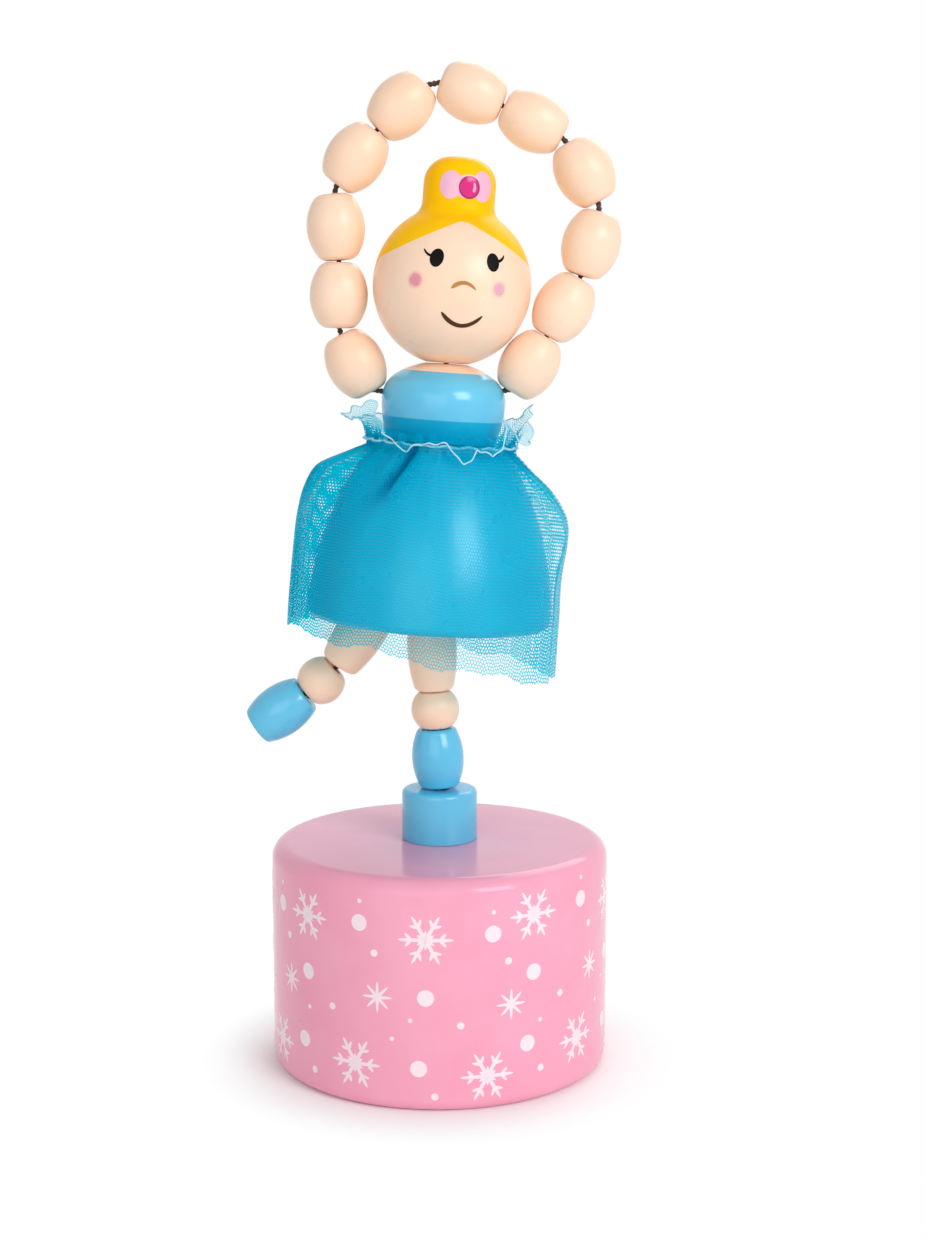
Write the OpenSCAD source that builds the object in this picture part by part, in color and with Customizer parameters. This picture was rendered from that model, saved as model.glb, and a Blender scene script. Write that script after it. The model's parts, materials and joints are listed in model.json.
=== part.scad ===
// Push puppet: a strung wooden doll that stands on a drum with one leg raised and her arms in a ring.
// Cords run from a spring-loaded button inside the drum, up through every bead. The spring keeps them
// taut, and pressing the button slackens them, so that the doll bows, nods and drops her arms and leg.
// Millimetres, Z up, the doll faces -Y, and the origin is the centre of the drum's foot.

/* [Drum] */
// Outer diameter of the drum
drum_d = 50; // [46:0.5:58]
// Height of the drum
drum_h = 33.4; // [32:0.2:40]
// Wall around the cavity
drum_wall = 4.5; // [3.5:0.1:6]
// Thickness of the top over the cavity
drum_top_t = 8.4; // [7:0.1:9.5]
// Rounding of the upper edge
drum_top_round = 2.4; // [0.5:0.1:4]
// Rounding of the foot edge
drum_foot_round = 2; // [0.5:0.1:2.5]

/* [Button and spring] */
// Thickness of the button
button_t = 5; // [4.5:0.1:6]
// Depth of the thumb recess below the button
button_recess = 5; // [4.5:0.1:6]
// How far the button travels
button_travel = 7; // [5:0.1:7.5]
// Running gap around the button
button_gap = 0.3; // [0.2:0.05:0.6]
// Rounding of the button's edges
button_round = 0.8; // [0.3:0.1:1.5]
// Height of the boss that centres the spring
boss_h = 2; // [1:0.1:3]
// Diameter of the pocket for the knot
knot_pocket_d = 9; // [8:0.1:12]
// Depth of the pocket for the knot
knot_pocket_h = 3.4; // [3:0.1:4]
// Diameter of the knot under the button
knot_d = 4.6; // [4:0.1:6]
// Mean diameter of the spring
spring_d = 16; // [13:0.5:20]
// Diameter of the spring's wire
spring_wire = 1; // [0.8:0.1:1.1]
// Number of turns of the spring
spring_turns = 6; // [5:1:6]

/* [Peg] */
// Diameter of the peg that the doll stands on
peg_d = 11.2; // [9:0.1:14]
// Height of the peg above the drum
peg_h = 7.6; // [6:0.1:10]
// Diameter of the spigot glued into the drum
peg_spigot_d = 7; // [5.5:0.1:8]
// Length of the spigot
peg_spigot_h = 5; // [3:0.1:6]
// Rounding of the peg's upper edge
peg_round = 0.5; // [0.2:0.1:1]
// Glue line around the spigot
glue_gap = 0.05; // [0.02:0.01:0.1]

/* [Cords] */
// Diameter of a cord
cord_d = 0.9; // [0.6:0.05:1]
// Space between the cords where four share a bore
cord_space = 0.1; // [0.05:0.05:0.2]
// Bore for the four cords
cord_bore_d = 3; // [2.6:0.1:3.4]
// Bore for one cord
strand_bore_d = 1.9; // [1.5:0.1:2.4]
// Diameter of the knot that ends a single cord
end_knot_d = 2; // [1.4:0.1:2.4]
// Gap between the end faces of strung pieces
bead_gap = 0.12; // [0.08:0.01:0.3]

/* [Legs] */
// Length of a shoe
shoe_len = 8.8; // [7:0.1:11]
// Widest diameter of a shoe
shoe_d = 7.7; // [7:0.1:9]
// Diameter of a shoe's flat ends
shoe_face_d = 5.6; // [5:0.1:6.5]
// Length of an ankle bead, a ball with flat ends
ankle_len = 5.5; // [4.5:0.1:6]
// Diameter of an ankle bead's ball
ankle_d = 7.1; // [6.4:0.1:8]
// Length of a thigh
thigh_len = 12.4; // [11:0.1:14]
// Widest diameter of a thigh
thigh_d = 7.3; // [6.4:0.1:7.6]
// Diameter of a thigh's flat ends
thigh_face_d = 4.2; // [4:0.1:5]
// Rounding of a thigh's rims
thigh_round = 0.9; // [0.5:0.1:1.1]
// Lean of the standing leg to the doll's right
leg_lean = -3; // [-6:0.5:0]
// Swing of the raised thigh from straight down
raised_swing = 34; // [30:1:48]
// Further swing of the raised ankle bead
raised_ankle_bend = 16; // [0:1:18]
// Further swing of the raised shoe
raised_shoe_bend = 5; // [0:1:8]
// Depth of the standing hip socket
hip_depth = 2.3; // [1.2:0.1:2.6]
// Clearance around a thigh in its hip socket
hip_gap = 0.8; // [0.3:0.05:0.9]
// Distance of the raised hip from the dress axis
raised_hip_x = 6.6; // [5.4:0.1:7]
// Height of the raised hip's seat above the dress's foot
raised_hip_z = 3.2; // [1.6:0.1:3.4]

/* [Dress] */
// Diameter of the dress at its foot
dress_d = 35.8; // [33:0.2:38]
// Height of the dress
dress_h = 26.2; // [23:0.2:29]
// Diameter of the dress at the waist
dress_top_d = 18.4; // [17.4:0.2:20]
// Rounding of the dress's foot
dress_round = 1.2; // [0.5:0.1:2]
// Lean of the dress and bodice to the doll's left
body_lean = 4; // [0:0.5:6]

/* [Bodice] */
// Widest diameter of the bodice
bodice_d = 18; // [17:0.1:19]
// Height of the bodice
bodice_h = 11.3; // [10.8:0.1:11.6]
// Diameter of the bodice at the waist
bodice_foot_d = 15.6; // [14.6:0.1:16.6]
// Height of the widest line of the bodice
bodice_mid_h = 6; // [5.6:0.1:6.4]
// Rounding of the shoulders
shoulder_r = 4.3; // [4:0.1:4.6]
// Radius of the dome between the shoulders
neck_dome_r = 13; // [12:0.1:14]

/* [Head] */
// Diameter of the head
head_d = 22.9; // [21:0.1:23]
// Diameter of the flat under the head
head_flat_d = 6; // [5:0.1:6.2]
// Depth of the cord's hole in the head
head_bore_h = 9; // [6:0.5:12]
// Diameter of the hair bun
bun_d = 10.4; // [9:0.1:12]
// Height of the bun above the top of the head
bun_h = 6.7; // [5:0.1:8]
// Rounding of the bun's top
bun_round = 3.8; // [2:0.1:4]
// Hollow rounding between bun and head
bun_fillet = 2.5; // [1.5:0.1:4]
// Lean of the head to the doll's left
head_lean = 4.5; // [3:0.5:6]

/* [Arms] */
// Length of an arm bead
arm_len = 9.4; // [9:0.05:9.5]
// Widest diameter of an arm bead
arm_d = 8.4; // [7.4:0.1:8.5]
// Diameter of an arm bead's flat ends
arm_face_d = 3; // [2.6:0.1:3.4]
// Rounding of an arm bead's rims
arm_round = 1.8; // [1.4:0.1:2]
// Where the first bead meets the bodice on the doll's right, from straight up
right_shoulder_angle = 64; // [58:1:68]
// Where the first bead meets the bodice on the doll's left, from straight up
left_shoulder_angle = 48; // [44:1:52]

/* [Tulle skirt] */
// Thickness of the gathered net
tulle_t = 0.5; // [0.4:0.05:0.6]
// Least gap between net and dress
tulle_gap = 0.35; // [0.3:0.05:0.6]
// How far the hem hangs below the dress's foot
hem_drop = 4.4; // [3:0.1:5]
// How much lower the hem hangs at the doll's left than at her right
hem_slant = 2.4; // [0:0.1:3]
// Number of folds around the skirt
fold_count = 11; // [8:1:13]
// Depth of the folds at the hem
fold_depth = 1.9; // [1:0.1:2.4]
// How far the hem flares out from the dress
hem_flare = 0.7; // [0.3:0.1:1.2]
// Height of the frill above the waist
frill_h = 3; // [2:0.1:3.2]
// How far the frill stands out from the waist
frill_out = 3; // [2:0.1:3.4]
// Diameter of the gathering thread
thread_d = 0.7; // [0.4:0.05:0.9]

/* [Hidden] */
$fn = 96;
// Tilts of the arm beads from straight up, from each shoulder to the top of the ring
right_arm_tilts = [-28, 1, -5, 38, 47, 112];
left_arm_tilts = [32, 30, 17, -29, -63];
right_arm_count = len(right_arm_tilts);
arm_count = right_arm_count + len(left_arm_tilts);
// Sides and rings of the spring's tube, and steps around the skirt
wire_sides = 6;
rings_per_turn = 8;
skirt_steps = 60;
// Rows of the net on the dress: height and depth of the folds, as shares of the dress and of a full fold
net_rows = [[0.1, 1], [0.32, 1], [0.55, 0.9], [0.75, 0.6], [0.9, 0.3]];
// Shares of a full fold at the front and back, in the gather, in the frill's throat and at its edge
front_fold = 0.35;
gather_fold = 0.1;
throat_fold = 0.2;
frill_fold = 0.4;
// Shares of the frill's reach and height where its throat turns outwards
throat_out = 0.35;
throat_up = 0.7;
// How far the folds drift from even spacing, in degrees of one fold
fold_drift = 40;

skin = [0.99, 0.87, 0.74];
blue = [0.38, 0.75, 0.93];
pink = [0.95, 0.62, 0.76];
hair = [1, 0.8, 0.1];
net = [0.05, 0.69, 0.85];
twine = [0.3, 0.2, 0.14];
steel = [0.75, 0.76, 0.78];
birch = [0.87, 0.75, 0.57];

// Directions in the doll's plane: along a piece that is tilted by a, and across it
function along(a) = [sin(a), 0, cos(a)];
function across(a) = [cos(a), 0, -sin(a)];
function local(at, a, x, z) = at + x * across(a) + z * along(a);
// Where a piece tilted by b starts, with its rim of radius r on the end of a piece tilted by a: rims that are
// rounded touch on their roundings
function seat(end, a, b, r, round = 0) =
    end + (b >= a ? 1 : -1) * r * (across(a) - across(b)) - round * (along(a) + along(b))
    + (2 * round + bead_gap) * along((a + b) / 2);
// Radius of the arc through a widest half width that narrows by swell over a length half
function arc_radius(half, swell) = (half * half + swell * swell) / (2 * swell);
// Diameter of the flat ends of a ball cut to a length
function ball_face(d, len) = sqrt(d * d - len * len);

cavity_r = drum_d / 2 - drum_wall;
cavity_h = drum_h - drum_top_t;
button_top = button_recess + button_t;
// The boss clears the flat chords between the spring's rings
boss_d = spring_d * cos(180 / rings_per_turn) - spring_wire - 2 * button_gap;
knot_seat = button_recess + knot_pocket_h;
peg_top = drum_h + peg_h;
// The four cords stand at the corners of a small square
cord_x = (cord_d + cord_space) / 2;
head_spot = [cord_x, cord_x];
raised_spot = [-cord_x, cord_x];
right_arm_spot = [-cord_x, -cord_x];
left_arm_spot = [cord_x, -cord_x];
body_spots = [head_spot, right_arm_spot, left_arm_spot];
leg_spots = concat(body_spots, [raised_spot]);

shoe_at = seat([0, 0, peg_top], 0, leg_lean, shoe_face_d / 2);
shoe_end = shoe_at + shoe_len * along(leg_lean);
ankle_face_d = ball_face(ankle_d, ankle_len);
ankle_at = seat(shoe_end, leg_lean, leg_lean, ankle_face_d / 2);
ankle_end = ankle_at + ankle_len * along(leg_lean);
thigh_at = seat(ankle_end, leg_lean, leg_lean, thigh_face_d / 2);
thigh_end = thigh_at + thigh_len * along(leg_lean);
hip_at = seat(thigh_end, leg_lean, body_lean, thigh_face_d / 2);
dress_at = hip_at - hip_depth * along(body_lean);
dress_end = dress_at + dress_h * along(body_lean);
bodice_at = seat(dress_end, body_lean, body_lean, bodice_foot_d / 2);
bodice_end = bodice_at + bodice_h * along(body_lean);
head_at = seat(bodice_end, body_lean, head_lean, head_flat_d / 2);

// The raised leg runs down and out from its slanted seat in the dress
raised_seat = local(dress_at, body_lean, -raised_hip_x, raised_hip_z);
raised_thigh_tilt = 180 + raised_swing;
raised_ankle_tilt = raised_thigh_tilt + raised_ankle_bend;
raised_shoe_tilt = raised_ankle_tilt + raised_shoe_bend;
raised_thigh_at = raised_seat + bead_gap * along(raised_thigh_tilt);
raised_thigh_end = raised_thigh_at + thigh_len * along(raised_thigh_tilt);
raised_ankle_at = seat(raised_thigh_end, raised_thigh_tilt, raised_ankle_tilt, thigh_face_d / 2);
raised_ankle_end = raised_ankle_at + ankle_len * along(raised_ankle_tilt);
raised_shoe_at = seat(raised_ankle_end, raised_ankle_tilt, raised_shoe_tilt, ankle_face_d / 2);
// Slant of the raised leg's drilling in the dress's own frame, and where it meets the dress's bore
raised_slant = raised_swing - body_lean;
raised_meet_z = raised_hip_z + raised_hip_x / tan(raised_slant);

// Shoulder arc of the bodice, and the dome that is tangent to it
shoulder_x = bodice_d / 2 - shoulder_r;
dome_z = bodice_mid_h - sqrt(pow(neck_dome_r - shoulder_r, 2) - shoulder_x * shoulder_x);

head_r = head_d / 2;
head_centre_h = sqrt(head_r * head_r - head_flat_d * head_flat_d / 4);

// First bead of an arm, with its inner rim on the shoulder: side is -1 or 1 along X
arm_reach = shoulder_r + bead_gap + arm_round;
function arm_start(side, angle, tilt) =
    local(bodice_at, body_lean, side * (shoulder_x + arm_reach * sin(angle)),
        bodice_mid_h + arm_reach * cos(angle))
    - arm_round * along(tilt) + side * arm_face_d / 2 * across(tilt);
right_arm_at = arm_start(-1, right_shoulder_angle, right_arm_tilts[0]);
left_arm_at = arm_start(1, left_shoulder_angle, left_arm_tilts[0]);
function chain_at(start, tilts, i) =
    i == 0 ? start : seat(chain_at(start, tilts, i - 1) + arm_len * along(tilts[i - 1]),
        tilts[i - 1], tilts[i], arm_face_d / 2, arm_round);
// Beads are numbered from the doll's right shoulder, over her head, to her left shoulder
function arm_tilt(i) = i <= right_arm_count ? right_arm_tilts[i - 1] : left_arm_tilts[arm_count - i];
function arm_at(i) =
    i <= right_arm_count ? chain_at(right_arm_at, right_arm_tilts, i - 1)
    : chain_at(left_arm_at, left_arm_tilts, arm_count - i);

module place(at, tilt) {
    translate(at) rotate([0, tilt, 0]) children();
}

// Half section of a turned piece with rounded outer edges
module turned_section(r, h, foot, top) {
    intersection() {
        union() {
            square([r - foot, h - top]);
            translate([0, foot]) square([r, h - foot - top]);
            translate([0, foot]) square([r - top, h - foot]);
            translate([r - foot, foot]) circle(foot);
            translate([r - top, h - top]) circle(top);
        }
        square([r, h]);
    }
}

// Barrel bead with flat ends, drilled along its axis
module barrel(len, d, face_d, bore_d) {
    arc = arc_radius(len / 2, (d - face_d) / 2);
    rotate_extrude() intersection() {
        translate([d / 2 - arc, len / 2]) circle(arc);
        translate([bore_d / 2, 0]) square([d, len]);
    }
}

// The same with rounded rims: the belly's arc runs into each rounding without a corner
module rounded_barrel(len, d, face_d, round, bore_d) {
    middle_arc = arc_radius(len / 2 - round, (d - face_d) / 2 - round);
    belly = middle_arc + round;
    belly_h = (len - 2 * round) * belly / middle_arc;
    rotate_extrude() difference() {
        union() {
            intersection() {
                translate([d / 2 - belly, len / 2]) circle(belly);
                translate([0, (len - belly_h) / 2]) square([d, belly_h]);
            }
            for (z = [round, len - round]) translate([face_d / 2, z]) circle(round);
            square([face_d / 2, len]);
        }
        translate([-d, 0]) square([d + bore_d / 2, len]);
    }
}

// Ball bead with flat ends and a bore, standing on the origin
module ball(len, d, bore_d) {
    rotate_extrude() intersection() {
        translate([0, len / 2]) circle(d = d);
        translate([bore_d / 2, 0]) square([d, len]);
    }
}

// Straight stretch of cord between two points
module strand(from, to) {
    run = to - from;
    translate(from)
        rotate([0, acos(run[2] / norm(run)), atan2(run[1], run[0])])
            cylinder(d = cord_d, h = norm(run));
}

// A cord swells a little where it turns a corner
module cord_bend(at) {
    translate(at) sphere(d = cord_d + cord_space);
}

// Upright cords at the given spots, from one height to another
module cords(spots, low, high) {
    for (p = spots) translate([p[0], p[1], low]) cylinder(d = cord_d, h = high - low);
}

module base_drum() {
    color(pink) rotate_extrude() difference() {
        turned_section(drum_d / 2, drum_h, drum_foot_round, drum_top_round);
        translate([0, -1]) square([cavity_r, cavity_h + 1]);
        square([cord_bore_d / 2, drum_h + 1]);
        translate([0, drum_h - peg_spigot_h - glue_gap])
            square([peg_spigot_d / 2 + glue_gap, peg_spigot_h + 1]);
    }
}

module base_peg() {
    color(blue) rotate_extrude() difference() {
        union() {
            translate([0, drum_h]) difference() {
                turned_section(peg_d / 2, peg_h, peg_round, peg_round);
                square([cord_bore_d / 2, peg_h]);
            }
            translate([0, drum_h]) square([peg_d / 2, peg_round]);
            translate([0, drum_h - peg_spigot_h]) square([peg_spigot_d / 2, peg_spigot_h]);
        }
        translate([0, drum_h - peg_spigot_h - 1]) square([cord_bore_d / 2, peg_spigot_h + peg_h + 2]);
    }
}

module push_button() {
    color(birch) rotate_extrude() difference() {
        translate([0, button_recess]) union() {
            turned_section(cavity_r - button_gap, button_t, button_round, button_round);
            square([boss_d / 2, button_t + boss_h]);
        }
        square([cord_bore_d / 2, button_top + boss_h + 1]);
        square([knot_pocket_d / 2, knot_seat]);
    }
}

// Compression spring: one unbroken tube from the button's top to the cavity's ceiling
spring_low = button_top + spring_wire / 2 + bead_gap;
spring_high = cavity_h - spring_wire / 2 - bead_gap;
spring_rings = spring_turns * rings_per_turn;
function spring_centre(i) =
    let (a = 360 * i / rings_per_turn)
    [spring_d / 2 * cos(a), spring_d / 2 * sin(a),
        spring_low + (spring_high - spring_low) * i / spring_rings];
function spring_point(i, j) =
    let (a = 360 * i / rings_per_turn, b = 360 * j / wire_sides, r = spring_wire / 2)
    spring_centre(i) + r * cos(b) * [cos(a), sin(a), 0] + [0, 0, r * sin(b)];
spring_gap = min([for (i = [0:spring_rings], k = [i + rings_per_turn / 2:spring_rings])
    norm(spring_centre(i) - spring_centre(k))]) - spring_wire;
echo(spring_least_gap = spring_gap);

// Faces of a tube with n points a ring and m rings, capped at both ends
function tube_faces(m, n) = concat(
    [for (i = [0:m - 2], j = [0:n - 1])
        [i * n + j, (i + 1) * n + (j + 1) % n, (i + 1) * n + j]],
    [for (i = [0:m - 2], j = [0:n - 1])
        [i * n + j, i * n + (j + 1) % n, (i + 1) * n + (j + 1) % n]],
    [for (j = [1:n - 2]) [0, j + 1, j]],
    [for (j = [1:n - 2]) [(m - 1) * n, (m - 1) * n + j, (m - 1) * n + j + 1]]);

module return_spring() {
    color(steel) polyhedron(
        points = [for (i = [0:spring_rings], j = [0:wire_sides - 1]) spring_point(i, j)],
        faces = tube_faces(spring_rings + 1, wire_sides));
}

// The knot that ties the four cords together in the button's pocket, and their cut ends
module button_knot() {
    tail_h = knot_seat - button_recess - bead_gap;
    color(twine) intersection() {
        union() {
            translate([0, 0, knot_seat - bead_gap - knot_d / 2]) sphere(d = knot_d);
            cords(leg_spots, knot_seat - bead_gap - tail_h, knot_seat - bead_gap);
        }
        translate([0, 0, knot_seat - bead_gap - tail_h]) cylinder(d = knot_pocket_d, h = tail_h);
    }
}

module base_cords() {
    color(twine) cords(leg_spots, knot_seat, peg_top);
}

module standing_shoe() {
    color(blue) place(shoe_at, leg_lean) barrel(shoe_len, shoe_d, shoe_face_d, cord_bore_d);
}

module standing_ankle() {
    color(skin) place(ankle_at, leg_lean) ball(ankle_len, ankle_d, cord_bore_d);
}

module standing_thigh() {
    color(skin) place(thigh_at, leg_lean)
        rounded_barrel(thigh_len, thigh_d, thigh_face_d, thigh_round, cord_bore_d);
}

module standing_shoe_cords() {
    color(twine) place(shoe_at, leg_lean) cords(leg_spots, 0, shoe_len);
}

module standing_ankle_cords() {
    color(twine) place(ankle_at, leg_lean) cords(leg_spots, 0, ankle_len);
}

module standing_thigh_cords() {
    color(twine) place(thigh_at, leg_lean) cords(leg_spots, 0, thigh_len);
}

// Radius of the dress at a height above its foot
dress_arc = arc_radius(dress_h, (dress_d - dress_top_d) / 2);
function dress_r(z) =
    let (h = max(z, 0))
    dress_d / 2 - dress_arc + sqrt(dress_arc * dress_arc - h * h);

module dress_bell() {
    socket_d = thigh_d + 2 * hip_gap;
    color(net) place(dress_at, body_lean) difference() {
        rotate_extrude() difference() {
            intersection() {
                translate([dress_d / 2 - dress_arc, 0]) circle(dress_arc, $fn = 4 * $fn);
                turned_section(dress_d / 2, dress_h, dress_round, dress_round);
            }
            translate([0, -1]) square([cord_bore_d / 2, dress_h + 2]);
            translate([0, -1]) square([socket_d / 2, hip_depth + 1]);
        }
        translate([-raised_hip_x, 0, raised_hip_z]) rotate([0, raised_slant, 0]) {
            translate([0, 0, -thigh_len]) cylinder(d = socket_d, h = thigh_len);
            cylinder(d = strand_bore_d, h = raised_hip_x / sin(raised_slant));
        }
    }
}

// Three cords pass up through the dress, and the fourth turns down to the raised leg
module dress_cords() {
    turn = [raised_spot[0], raised_spot[1], raised_meet_z - cord_d];
    end = [-raised_hip_x, 0, raised_hip_z];
    color(twine) place(dress_at, body_lean) {
        cords(body_spots, hip_depth, dress_h);
        strand([turn[0], turn[1], hip_depth], turn);
        cord_bend(turn);
        strand(turn, end);
    }
}

// Folds are full at the doll's sides, where the net hangs loose, and shallow at her front and back
function fold(a) =
    (1 + cos(fold_count * a + fold_drift * sin(2 * a))) / 2
    * (front_fold + (1 - front_fold) * cos(a) * cos(a));
function hem_z(a) = -hem_drop - hem_slant / 2 * cos(a);
clear_r = tulle_gap + tulle_t / 2;
gather_r = dress_top_d / 2 + clear_r;
hem_r = dress_d / 2 + clear_r;
// The skirt's section from hem to frill edge, at an angle around the dress: radius and height
function skirt_section(a) =
    let (w = fold_depth * fold(a))
    concat(
        [[hem_r + hem_flare + w, hem_z(a)], [hem_r + hem_flare / 2 + w, hem_z(a) / 2]],
        [for (row = net_rows)
            [dress_r(row[0] * dress_h) + clear_r + row[1] * w, row[0] * dress_h]],
        [[gather_r + gather_fold * w, dress_h],
            [gather_r + throat_out * frill_out + throat_fold * w, dress_h + throat_up * frill_h],
            [gather_r + frill_out + frill_fold * w, dress_h + frill_h]]);
section_points = len(skirt_section(0));
// One side of the net: a section moved by half the net's thickness along its normal
function skirt_side(a, offset) =
    let (s = skirt_section(a), last = section_points - 1)
    [for (k = [0:last])
        let (d = s[min(k + 1, last)] - s[max(k - 1, 0)], n = [d[1], -d[0]] / norm(d))
        let (q = s[k] + offset * n)
        [q[0] * cos(a), q[0] * sin(a), q[1]]];

module tulle_skirt() {
    turn = [for (j = [0:skirt_steps - 1]) 360 * j / skirt_steps];
    ring = 2 * section_points;
    // Each step holds the outer side from hem to frill, then the inner side back to the hem
    rows = [for (a = turn)
        let (inner = skirt_side(a, -tulle_t / 2))
        concat(skirt_side(a, tulle_t / 2),
            [for (k = [section_points - 1:-1:0]) inner[k]])];
    points = [for (row = rows) for (p = row) p];
    corner = function (j, k) (j % skirt_steps) * ring + k % ring;
    color(net) place(dress_at, body_lean) polyhedron(
        points = points,
        faces = concat(
            [for (j = [0:skirt_steps - 1], k = [0:ring - 1])
                [corner(j, k), corner(j, k + 1), corner(j + 1, k + 1)]],
            [for (j = [0:skirt_steps - 1], k = [0:ring - 1])
                [corner(j, k), corner(j + 1, k + 1), corner(j + 1, k)]]));
}

// The thread that gathers the net, lying in the waist between skirt and frill
module waist_thread() {
    thread_r = gather_r + gather_fold * fold_depth + (tulle_t + thread_d) / 2 + 2 * bead_gap;
    color(net) place(dress_at, body_lean)
        translate([0, 0, dress_h]) rotate_extrude() translate([thread_r, 0]) circle(d = thread_d);
}

module bodice() {
    low_arc = arc_radius(bodice_mid_h, (bodice_d - bodice_foot_d) / 2);
    dome_reach = neck_dome_r / (neck_dome_r - shoulder_r);
    color(blue) place(bodice_at, body_lean) difference() {
        rotate_extrude() difference() {
            intersection() {
                union() {
                    intersection() {
                        translate([bodice_d / 2 - low_arc, bodice_mid_h]) circle(low_arc, $fn = 2 * $fn);
                        square([bodice_d, bodice_mid_h]);
                    }
                    intersection() {
                        translate([shoulder_x, bodice_mid_h]) circle(shoulder_r);
                        translate([0, bodice_mid_h]) square([bodice_d, shoulder_r]);
                    }
                    polygon([[0, bodice_mid_h], [shoulder_x, bodice_mid_h],
                        [dome_reach * shoulder_x, dome_z + dome_reach * (bodice_mid_h - dome_z)],
                        [0, dome_z + neck_dome_r]]);
                    intersection() {
                        translate([0, dome_z]) circle(neck_dome_r);
                        polygon([[0, dome_z], [2 * dome_reach * shoulder_x,
                            dome_z + 2 * dome_reach * (bodice_mid_h - dome_z)],
                            [0, dome_z + 2 * neck_dome_r]]);
                    }
                }
                square([bodice_d, bodice_h]);
            }
            translate([0, -1]) square([cord_bore_d / 2, bodice_h + 2]);
        }
        for (side = [-1, 1]) shoulder_bore(side);
    }
}

// Where an arm's cord leaves the bodice, in the bodice's own frame
function shoulder_exit(side) =
    let (d = (side < 0 ? right_arm_at : left_arm_at) - bodice_at)
    [d * across(body_lean), 0, d * along(body_lean)];

module shoulder_bore(side) {
    exit = shoulder_exit(side);
    rise = exit[2] - bodice_mid_h;
    translate([0, 0, bodice_mid_h])
        rotate([0, side * acos(rise / norm([exit[0], rise])), 0])
            cylinder(d = strand_bore_d, h = bodice_d);
}

// The head's cord goes straight up, and each arm's cord turns out through its shoulder
module bodice_cords() {
    color(twine) place(bodice_at, body_lean) {
        cords([head_spot], 0, bodice_h);
        for (side = [-1, 1]) {
            spot = side < 0 ? right_arm_spot : left_arm_spot;
            turn = [spot[0], spot[1], bodice_mid_h];
            exit = shoulder_exit(side);
            strand([spot[0], spot[1], 0], turn);
            cord_bend(turn);
            strand(turn, exit - cord_d * (exit - turn) / norm(exit - turn));
        }
    }
}

module head() {
    // Centre of the hollow rounding, and where it is tangent to the head
    hollow_x = bun_d / 2 + bun_fillet;
    hollow_z = sqrt(pow(head_r + bun_fillet, 2) - hollow_x * hollow_x);
    touch = head_r / (head_r + bun_fillet);
    color(skin) place(head_at, head_lean) rotate_extrude() difference() {
        translate([0, head_centre_h]) union() {
            intersection() {
                circle(head_r, $fn = 2 * $fn);
                translate([0, -head_centre_h]) square(2 * head_d);
            }
            turned_section(bun_d / 2, head_r + bun_h, bun_round, bun_round);
            difference() {
                polygon([[0, 0], [touch * hollow_x, touch * hollow_z], [hollow_x, hollow_z],
                    [bun_d / 2, hollow_z], [0, hollow_z]]);
                translate([hollow_x, hollow_z]) circle(bun_fillet);
            }
        }
        square([strand_bore_d / 2 + cord_space, head_bore_h]);
    }
}

module head_cord() {
    color(twine) place(head_at, head_lean) {
        cylinder(d = cord_d, h = head_bore_h - end_knot_d / 2);
        translate([0, 0, head_bore_h - end_knot_d]) sphere(d = min(end_knot_d, strand_bore_d - cord_space));
    }
}

module raised_thigh() {
    color(skin) place(raised_thigh_at, raised_thigh_tilt)
        rounded_barrel(thigh_len, thigh_d, thigh_face_d, thigh_round, strand_bore_d);
}

module raised_ankle() {
    color(skin) place(raised_ankle_at, raised_ankle_tilt)
        ball(ankle_len, ankle_d, strand_bore_d);
}

// The raised shoe's bore is wider at the toe, where it hides the knot
toe_pocket_d = end_knot_d + 2 * cord_space;
toe_pocket_h = 3 * end_knot_d / 2;
module raised_shoe() {
    color(blue) place(raised_shoe_at, raised_shoe_tilt) difference() {
        barrel(shoe_len, shoe_d, shoe_face_d, strand_bore_d);
        translate([0, 0, shoe_len - toe_pocket_h]) cylinder(d = toe_pocket_d, h = shoe_len);
    }
}

module raised_thigh_cord() {
    color(twine) place(raised_thigh_at, raised_thigh_tilt) cords([[0, 0]], 0, thigh_len);
}

module raised_ankle_cord() {
    color(twine) place(raised_ankle_at, raised_ankle_tilt) cords([[0, 0]], 0, ankle_len);
}

module raised_shoe_cord() {
    color(twine) place(raised_shoe_at, raised_shoe_tilt) {
        cords([[0, 0]], 0, shoe_len - end_knot_d / 2);
        translate([0, 0, shoe_len - end_knot_d]) sphere(d = end_knot_d);
    }
}

module arm_bead(i) {
    color(skin) place(arm_at(i), arm_tilt(i))
        rounded_barrel(arm_len, arm_d, arm_face_d, arm_round, strand_bore_d);
}

module arm_cord(i) {
    color(twine) place(arm_at(i), arm_tilt(i)) cords([[0, 0]], 0, arm_len);
}

base_drum();
base_peg();
push_button();
return_spring();
button_knot();
base_cords();
standing_shoe();
standing_ankle();
standing_thigh();
standing_shoe_cords();
standing_ankle_cords();
standing_thigh_cords();
dress_bell();
dress_cords();
tulle_skirt();
waist_thread();
bodice();
bodice_cords();
head();
head_cord();
raised_thigh();
raised_ankle();
raised_shoe();
raised_thigh_cord();
raised_ankle_cord();
raised_shoe_cord();
for (i = [1:arm_count]) arm_bead(i);
for (i = [1:arm_count]) arm_cord(i);
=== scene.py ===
"""Dresses the push puppet: lacquered beads, a printed drum, a painted head and a gathered net skirt.

The doll faces -Y and Z is up. Sizes are written in millimetres and become metres through MM.
A turn is an angle round an upright axis, in degrees from the front, towards the doll's left hand (+X).
"""

import json
import math

import bmesh
import bpy
import numpy as np
from mathutils import Matrix, Vector


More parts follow.
